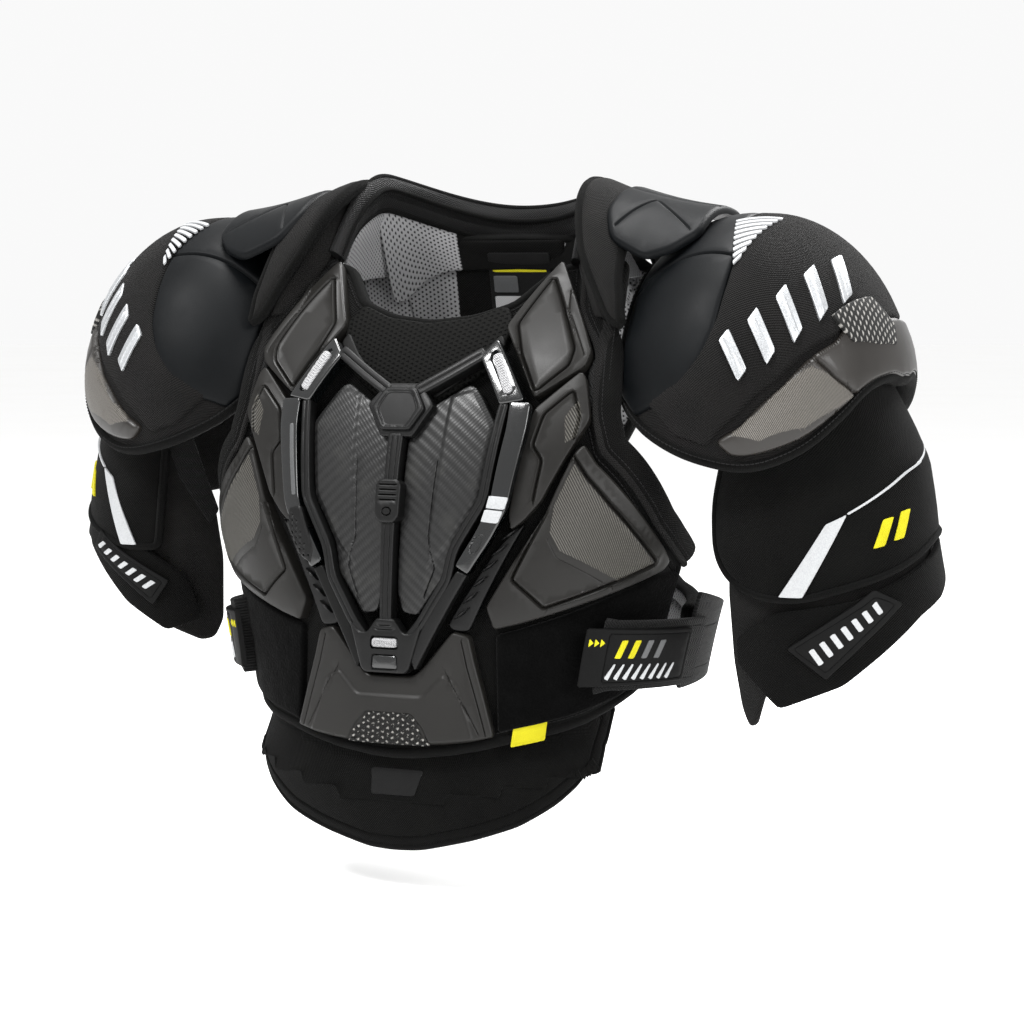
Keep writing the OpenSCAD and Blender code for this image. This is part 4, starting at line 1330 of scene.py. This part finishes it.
def build_caps():
    rim = [tuple(p) for p in resample(fillet(RIM_FRONT + RIM_BACK[::-1], 14), 5)]
    outer_front = [p for p in rim if p[0] > 12 and p[1] < 0]
    outer_back = [p for p in rim if p[0] > 12 and p[1] > 0][::-1]
    for name, side in SIDES:
        body = f"cap_{name}"
        relief(f"cap_shell_{name}", CAP, rim, Face(-2.0, (3, 3), cell=9), Face(-CAP_WALL, (3, 3), cell=12),
               "cap_cloth", body, side, 5, 3.2, stands_for=f"shoulder_cap_{name}", fill=0.8)
        relief(f"cap_foam_{name}", CAP, BAND_INNER,
               Face(0.8, (4, 2.8), [Groove([(-38, -43), (6, -39)], 4, 2.4),
                                    Groove([(-38, 43), (6, 39)], 4, 2.4)], 1.0, 14, 7),
               plain(-3), "navy_foam", body, side, 5, 3, fill=0.8)
        band = [(m, 0.95 * n) for m, n in BAND_INNER + [(-10, 99)] + BAND_OUTER[::-1] + [(-10, -104)]]
        relief(f"cap_textile_{name}", CAP, band, Face(0.6, (3.5, 2.6), (), 1.6, 16, 7, undulate(22, 0.5)),
               plain(-3), "cap_cloth",
               body, side, 4, 3, stands_for=f"cap_band_{name}", fill=0.7)
        shell = [(6, -100)] + BAND_OUTER[1:-1] + [(6, 95)] + [(m - 1.5, 0.955 * n) for m,
                                                              n in outer_back + outer_front[::-1]]
        split = Groove([(40, -70), (50, -77), (62, -86)], 5, 3)
        split_back = Groove([(40, 70), (50, 77), (62, 86)], 5, 3)
        weave = [(12, -98), (22, -91), (32, -81), (40, -74), (58, -84), (50, -90), (38, -97), (22, -100)]
        relief(f"cap_guard_{name}", CAP, shell, Face(2.5, (4, 4), [split, split_back], 1.6, 14, 6),
               plain(-3), "guard_foam",
               body, side, 4, 3, stands_for=f"cap_rim_guard_{name}", fill=0.9, prints=weave)
        sweep(f"cap_rim_binding_{name}", [path_on(CAP, rim, -6, True, 6, 3, 2.5)], oval(4.6, 7.6, 16),
              "soft_binding", body, side)
        lining = [(m, n + 12) for m, n in RIM_FRONT[:-1]] + [(m, n - 12) for m, n in RIM_BACK[:-1]][::-1]
        relief(f"cap_lining_{name}", CAP, lining, plain(-CAP_WALL + 1, 14),
               Face(-CAP_WALL - 4.5, (4, 3), cell=10),
               "padded_cloth", body, side, 5, 4, stands_for=f"cap_liner_{name}", fill=0.5)
        stitches(f"cap_rim_stitches_{name}", [path_on(CAP, rim, 2.0, True, 6, 3, 5.5)], "dark_thread", body,
                 side)
        studs = [(44, -50), (54, -56), (65, -42), (71, -20), (66, -8), (54, -20)]
        relief(f"cap_studs_{name}", CAP, studs, Face(4.6, (1, 0.8), cell=6), plain(1), "honeycomb", body,
               side, 2, 2.4)
        for k in range(5):
            centre = np.array([12 + 9.6 * k - 0.5 * k**2, -74 + 5.5 * k + 1.55 * k**2])
            tall = np.array([-4.6 - 0.25 * k, 5.2 + 0.4 * k])
            wide = np.array([1.5 - 0.2 * k, 2.0 + 0.6 * k])
            bar = [centre + a * tall + (b + 0.4 * a) * wide for a,
                   b in ((-1, -1), (1, -1), (1, 1), (-1, 1))]
            ridge = Groove([centre - 0.8 * tall - 0.3 * wide, centre + 0.8 * tall + 0.3 * wide], 3.0, -0.8)
            relief(f"cap_bar_{k}_{name}", CAP, bar, Face(3.8, (0.8, 0.8), [ridge], cell=6), plain(0.5),
                   "chrome",
                   body, side, 0.8, 2.4)
        for k in range(9):
            n = -19 - k * 2.9
            dash = [(-2 + k * 0.9, n), (13 - k * 0.7, n + 8 - k * 0.5), (13.2 - k * 0.7, n + 6.3 - k * 0.5),
                    (-1.5 + k * 0.9, n - 1.6)]
            relief(f"cap_hatch_{k}_{name}", CAP, dash, *film(3.0, 1.4), "silver_film", body, side, 0.4, 2)


def build_flaps():
    outline = [(124, -30), (134, -46), (165, -52), (184, -44), (198, -30), (198, 46), (184, 52), (165, 52),
               (134, 46), (124, 36)]
    for name, side in SIDES:
        relief(f"collar_bone_flap_{name}", FLAP, outline,
               Face(5.5, (4, 4), [Groove([(127, 6), (158, 8), (194, 10)], 5, 1.6),
                                  Groove([(136, -38), (152, -4), (188, -28)], 3, 1.2)], 1.2, 12, 5),
               plain(0), "navy_foam", f"flap_{name}", side, 6, 2.6, stands_for=f"clavicle_flap_{name}",
               fill=0.8)


# ---------- upper arm guards ----------
GUARD_LOW = [(-GUARD_FRONT, -214), (-120, -232), (-100, -243), (-80, -244), (-40, -226), (0, -202),
             (60, -192), (100, -188)]
GUARD_TOP = [(-GUARD_FRONT, -182), (-120, -144), (-100, -112), (-80, -98), (-40, -92), (0, -90), (60, -92),
             (100, -104)]


def build_arms():
    outline = GUARD_LOW + GUARD_TOP[::-1]
    back_edge = [(10, -222), (96, -205), (96, -108), (10, -98), (-30, -100), (-70, -108)]
    slings = {
        "left": [(-133, -292), (-127, -326), (-120, -339), (-113, -337), (-98, -302), (-70, -266),
                 (-30, -240)]
        + back_edge + [(-100, -122), (-112, -140), (-131, -200)],
        "right": [(-144, -302), (-138, -316), (-128, -318), (-107, -308), (-78, -285), (-60, -262),
                  (-40, -236)]
        + back_edge + [(-112, -120), (-118, -158), (-136, -217), (-142, -254)],
    }
    webs = {
        "left": [(-118, -292), (-90, -322), (-60, -304), (-20, -256), (20, -228), (20, -203), (-20, -222),
                 (-60, -246), (-90, -254), (-118, -274)],
        "right": [(20, -203), (20, -226), (-42, -240), (-60, -264), (-78, -287), (-104, -308), (-126, -300),
                  (-118, -268),
                  (-96, -248), (-70, -226), (-40, -212)],
    }
    badges = {
        "left": [(-85, -278), (-68, -299), (-34, -246), (-47, -236)],
        "right": [(-60, -232), (-56, -245), (-97, -288), (-107, -269)],
    }
    borders = {
        "left": [(-82, -278), (-68, -294), (-38, -246), (-47, -241)],
        "right": [(-63, -236), (-60, -245), (-96, -283), (-103, -270)],
    }
    for name, side in SIDES:
        body = f"arm_{name}"
        arm = ARMS[name]
        front = -GUARD_FRONT if side > 0 else -100
        guard = [(max(p, front), z) for p, z in outline]
        relief(f"arm_pad_{name}", arm, guard, Face(0, (5, 4.5), (), 1.6, 16, 7, undulate(24, 0.7)),
               Face(-GUARD_WALL, (4, 3), cell=12), "padded_cloth", body, side, 12, 3,
               stands_for=f"arm_guard_{name}", fill=0.7)
        sweep(f"arm_binding_{name}", [path_on(arm, guard, -3.5, True, 12, 3)], oval(3.0, 5.4, 12),
              "soft_binding", body, side)
        bar = [(-88, -242), (-78, -242), (-55, -184), (-65, -191)]
        relief(f"arm_bar_{name}", arm, bar, *film(2.4, 0.8, 8.0), "silver_film", body, side, 0.5, 2)
        line = strip(arm, [(-55, -184), (-20, -156), (22, -137)], 1.6)
        relief(f"arm_line_{name}", arm, line, *film(2.4, 0.8, 8.0), "silver_film", body, side, 0.4, 2)
        wing = [(22, -138), (34, -133), (44, -140), (40, -150)]
        relief(f"arm_corner_{name}", arm, wing, *film(2.4, 0.8, 8.0), "silver_film", body, side, 0.5, 2)
        for k in range(2):
            mark = [(q + 11 * k, z + 5 * k) for q,
                    z in ((-45, -208), (-39, -206), (-32, -186), (-38, -188))]
            relief(f"arm_accent_{k}_{name}", arm, mark, *film(2.4, 0.8, 8.0), "yellow_tab",
                   body, side, 0.5, 2)
        relief(f"arm_sling_{name}", arm, slings[name], Face(-GUARD_WALL - 1.5, (3, 2), cell=9),
               Face(-GUARD_WALL - 6.5, (3, 2), cell=12),
               "woven_cloth", body, side, 5, 3, stands_for=f"arm_liner_{name}", fill=0.4)
        anchor = [(22, -198), (38, -195), (38, -222), (22, -227)]
        relief(f"arm_anchor_{name}", arm, anchor, Face(-1, (1.5, 1.2), cell=7), plain(-5), "padded_cloth",
               body,
               side, 3, 2.6)
        strap_body = f"arm_strap_{name}"
        relief(f"arm_strap_web_{name}", arm, webs[name], Face(-1, (1.5, 1.2), cell=7), plain(-5),
               "padded_cloth",
               strap_body, side, 4, 2.6, stands_for=f"arm_strap_{name}")
        relief(f"arm_badge_{name}", arm, badges[name],
               Face(2.4, (0.8, 0.6), [Groove(borders[name], 1.0, 0.5, True, 1)], cell=6), plain(-0.5),
               "patch_rubber", strap_body, side, 1.2, 2, stands_for=f"arm_patch_{name}")
        a0, b0, b1, a1 = np.array(badges[name], float)
        for k in range(7):
            t = 0.12 + 0.12 * k
            a, b, along = a0 + (a1 - a0) * t, b0 + (b1 - b0) * t, (a1 - a0) * 0.055
            bar = [a * 0.7 + b * 0.3, a * 0.7 + b * 0.3 + along, a * 0.3 + b * 0.7,
                   a * 0.3 + b * 0.7 - along]
            relief(f"arm_badge_bar_{k}_{name}", arm, bar, *film(3.0, 1.6), "silver_film", strap_body,
                   side, 0.3, 1.4)
    loop = [(-101, -166), (-117, -158), (-137, -216), (-131, -226), (-110, -190)]
    relief("arm_loop_right", ARMS["right"], loop, Face(-6.6, (1, 1), cell=7), plain(-8.4), "webbing",
           "arm_right",
           -1, 2, 2.4)


# ---------- studio ----------
CAMERA_TURN = 26.5
CAMERA_HEIGHT = 4.2
CAMERA_DISTANCE = 2.43
CAMERA_LENS = 115.3
AIM_ACROSS = -0.0303
AIM_UP = 0.1944
FLOOR_GAP = 0.03


def make_camera():
    turn, height = math.radians(CAMERA_TURN), math.radians(CAMERA_HEIGHT)
    back = Vector((math.sin(turn) * math.cos(height), -math.cos(turn) * math.cos(height), math.sin(height)))
    right = Vector((math.cos(turn), math.sin(turn), 0))
    up = back.cross(right)
    data = bpy.data.cameras.new("camera")
    data.lens, data.sensor_width = CAMERA_LENS, 36
    data.clip_end = 20
    obj = bpy.data.objects.new("camera", data)
    obj.location = back * CAMERA_DISTANCE - right * AIM_ACROSS - up * AIM_UP
    obj.rotation_euler = back.to_track_quat("Z", "Y").to_euler()
    bpy.context.collection.objects.link(obj)
    bpy.context.scene.camera = obj


def make_floor():
    low = cad_box[0][2] - FLOOR_GAP
    data = bpy.data.meshes.new("studio_floor")
    s = FLOOR_HALF
    data.from_pydata([(-s, -s, low), (s, -s, low), (s, s, low), (-s, s, low)], [], [[0, 1, 2, 3]])
    floor = bpy.data.objects.new("studio_floor", data)
    bpy.context.collection.objects.link(floor)
    paint = Paint("studio_floor", roughness=0.9, specular=0.1)
    grain = paint.noise(300)
    paint.colour(paint.blend(grain, "f4f4f3", "f8f8f8"))
    paint.shader.inputs["Emission Color"].default_value = (1, 1, 1, 1)
    paint.shader.inputs["Emission Strength"].default_value = FLOOR_GLOW
    data.materials.append(paint.material)


LIGHTS = {
    "key": ((-0.9, -2.1, 2.1), 0.9, 95),
    "fill": ((2.3, -1.2, 0.7), 1.2, 40),
    "rim": ((0.6, 1.9, 1.6), 1.2, 60),
    "top": ((0, 0.1, 2.1), 1.2, 75),
}
LIGHT_AIM = Vector((0, 0, -0.15))
ROOM_LIGHT = 0.95
FLOOR_HALF = 30.0
FLOOR_GLOW = 0.07


def make_light(name, place, size, power):
    data = bpy.data.lights.new(name, "AREA")
    data.shape, data.size, data.energy = "DISK", size, power
    obj = bpy.data.objects.new(name, data)
    obj.location = place
    obj.rotation_euler = (Vector(place) - LIGHT_AIM).to_track_quat("Z", "Y").to_euler()
    bpy.context.collection.objects.link(obj)


def make_studio():
    make_floor()
    for name, (place, size, power) in LIGHTS.items():
        make_light(name, place, size, power)
    world = bpy.data.worlds.new("studio")
    world.use_nodes = True
    background = world.node_tree.nodes["Background"]
    background.inputs[0].default_value = (1, 1, 1, 1)
    background.inputs[1].default_value = ROOM_LIGHT
    bpy.context.scene.world = world
    bpy.context.scene.view_settings.view_transform = "Standard"


make_camera()
build_chest()
build_extension()
build_back()
collar()
gussets()
build_yokes()
build_straps()
build_caps()
build_flaps()
build_arms()
make_studio()
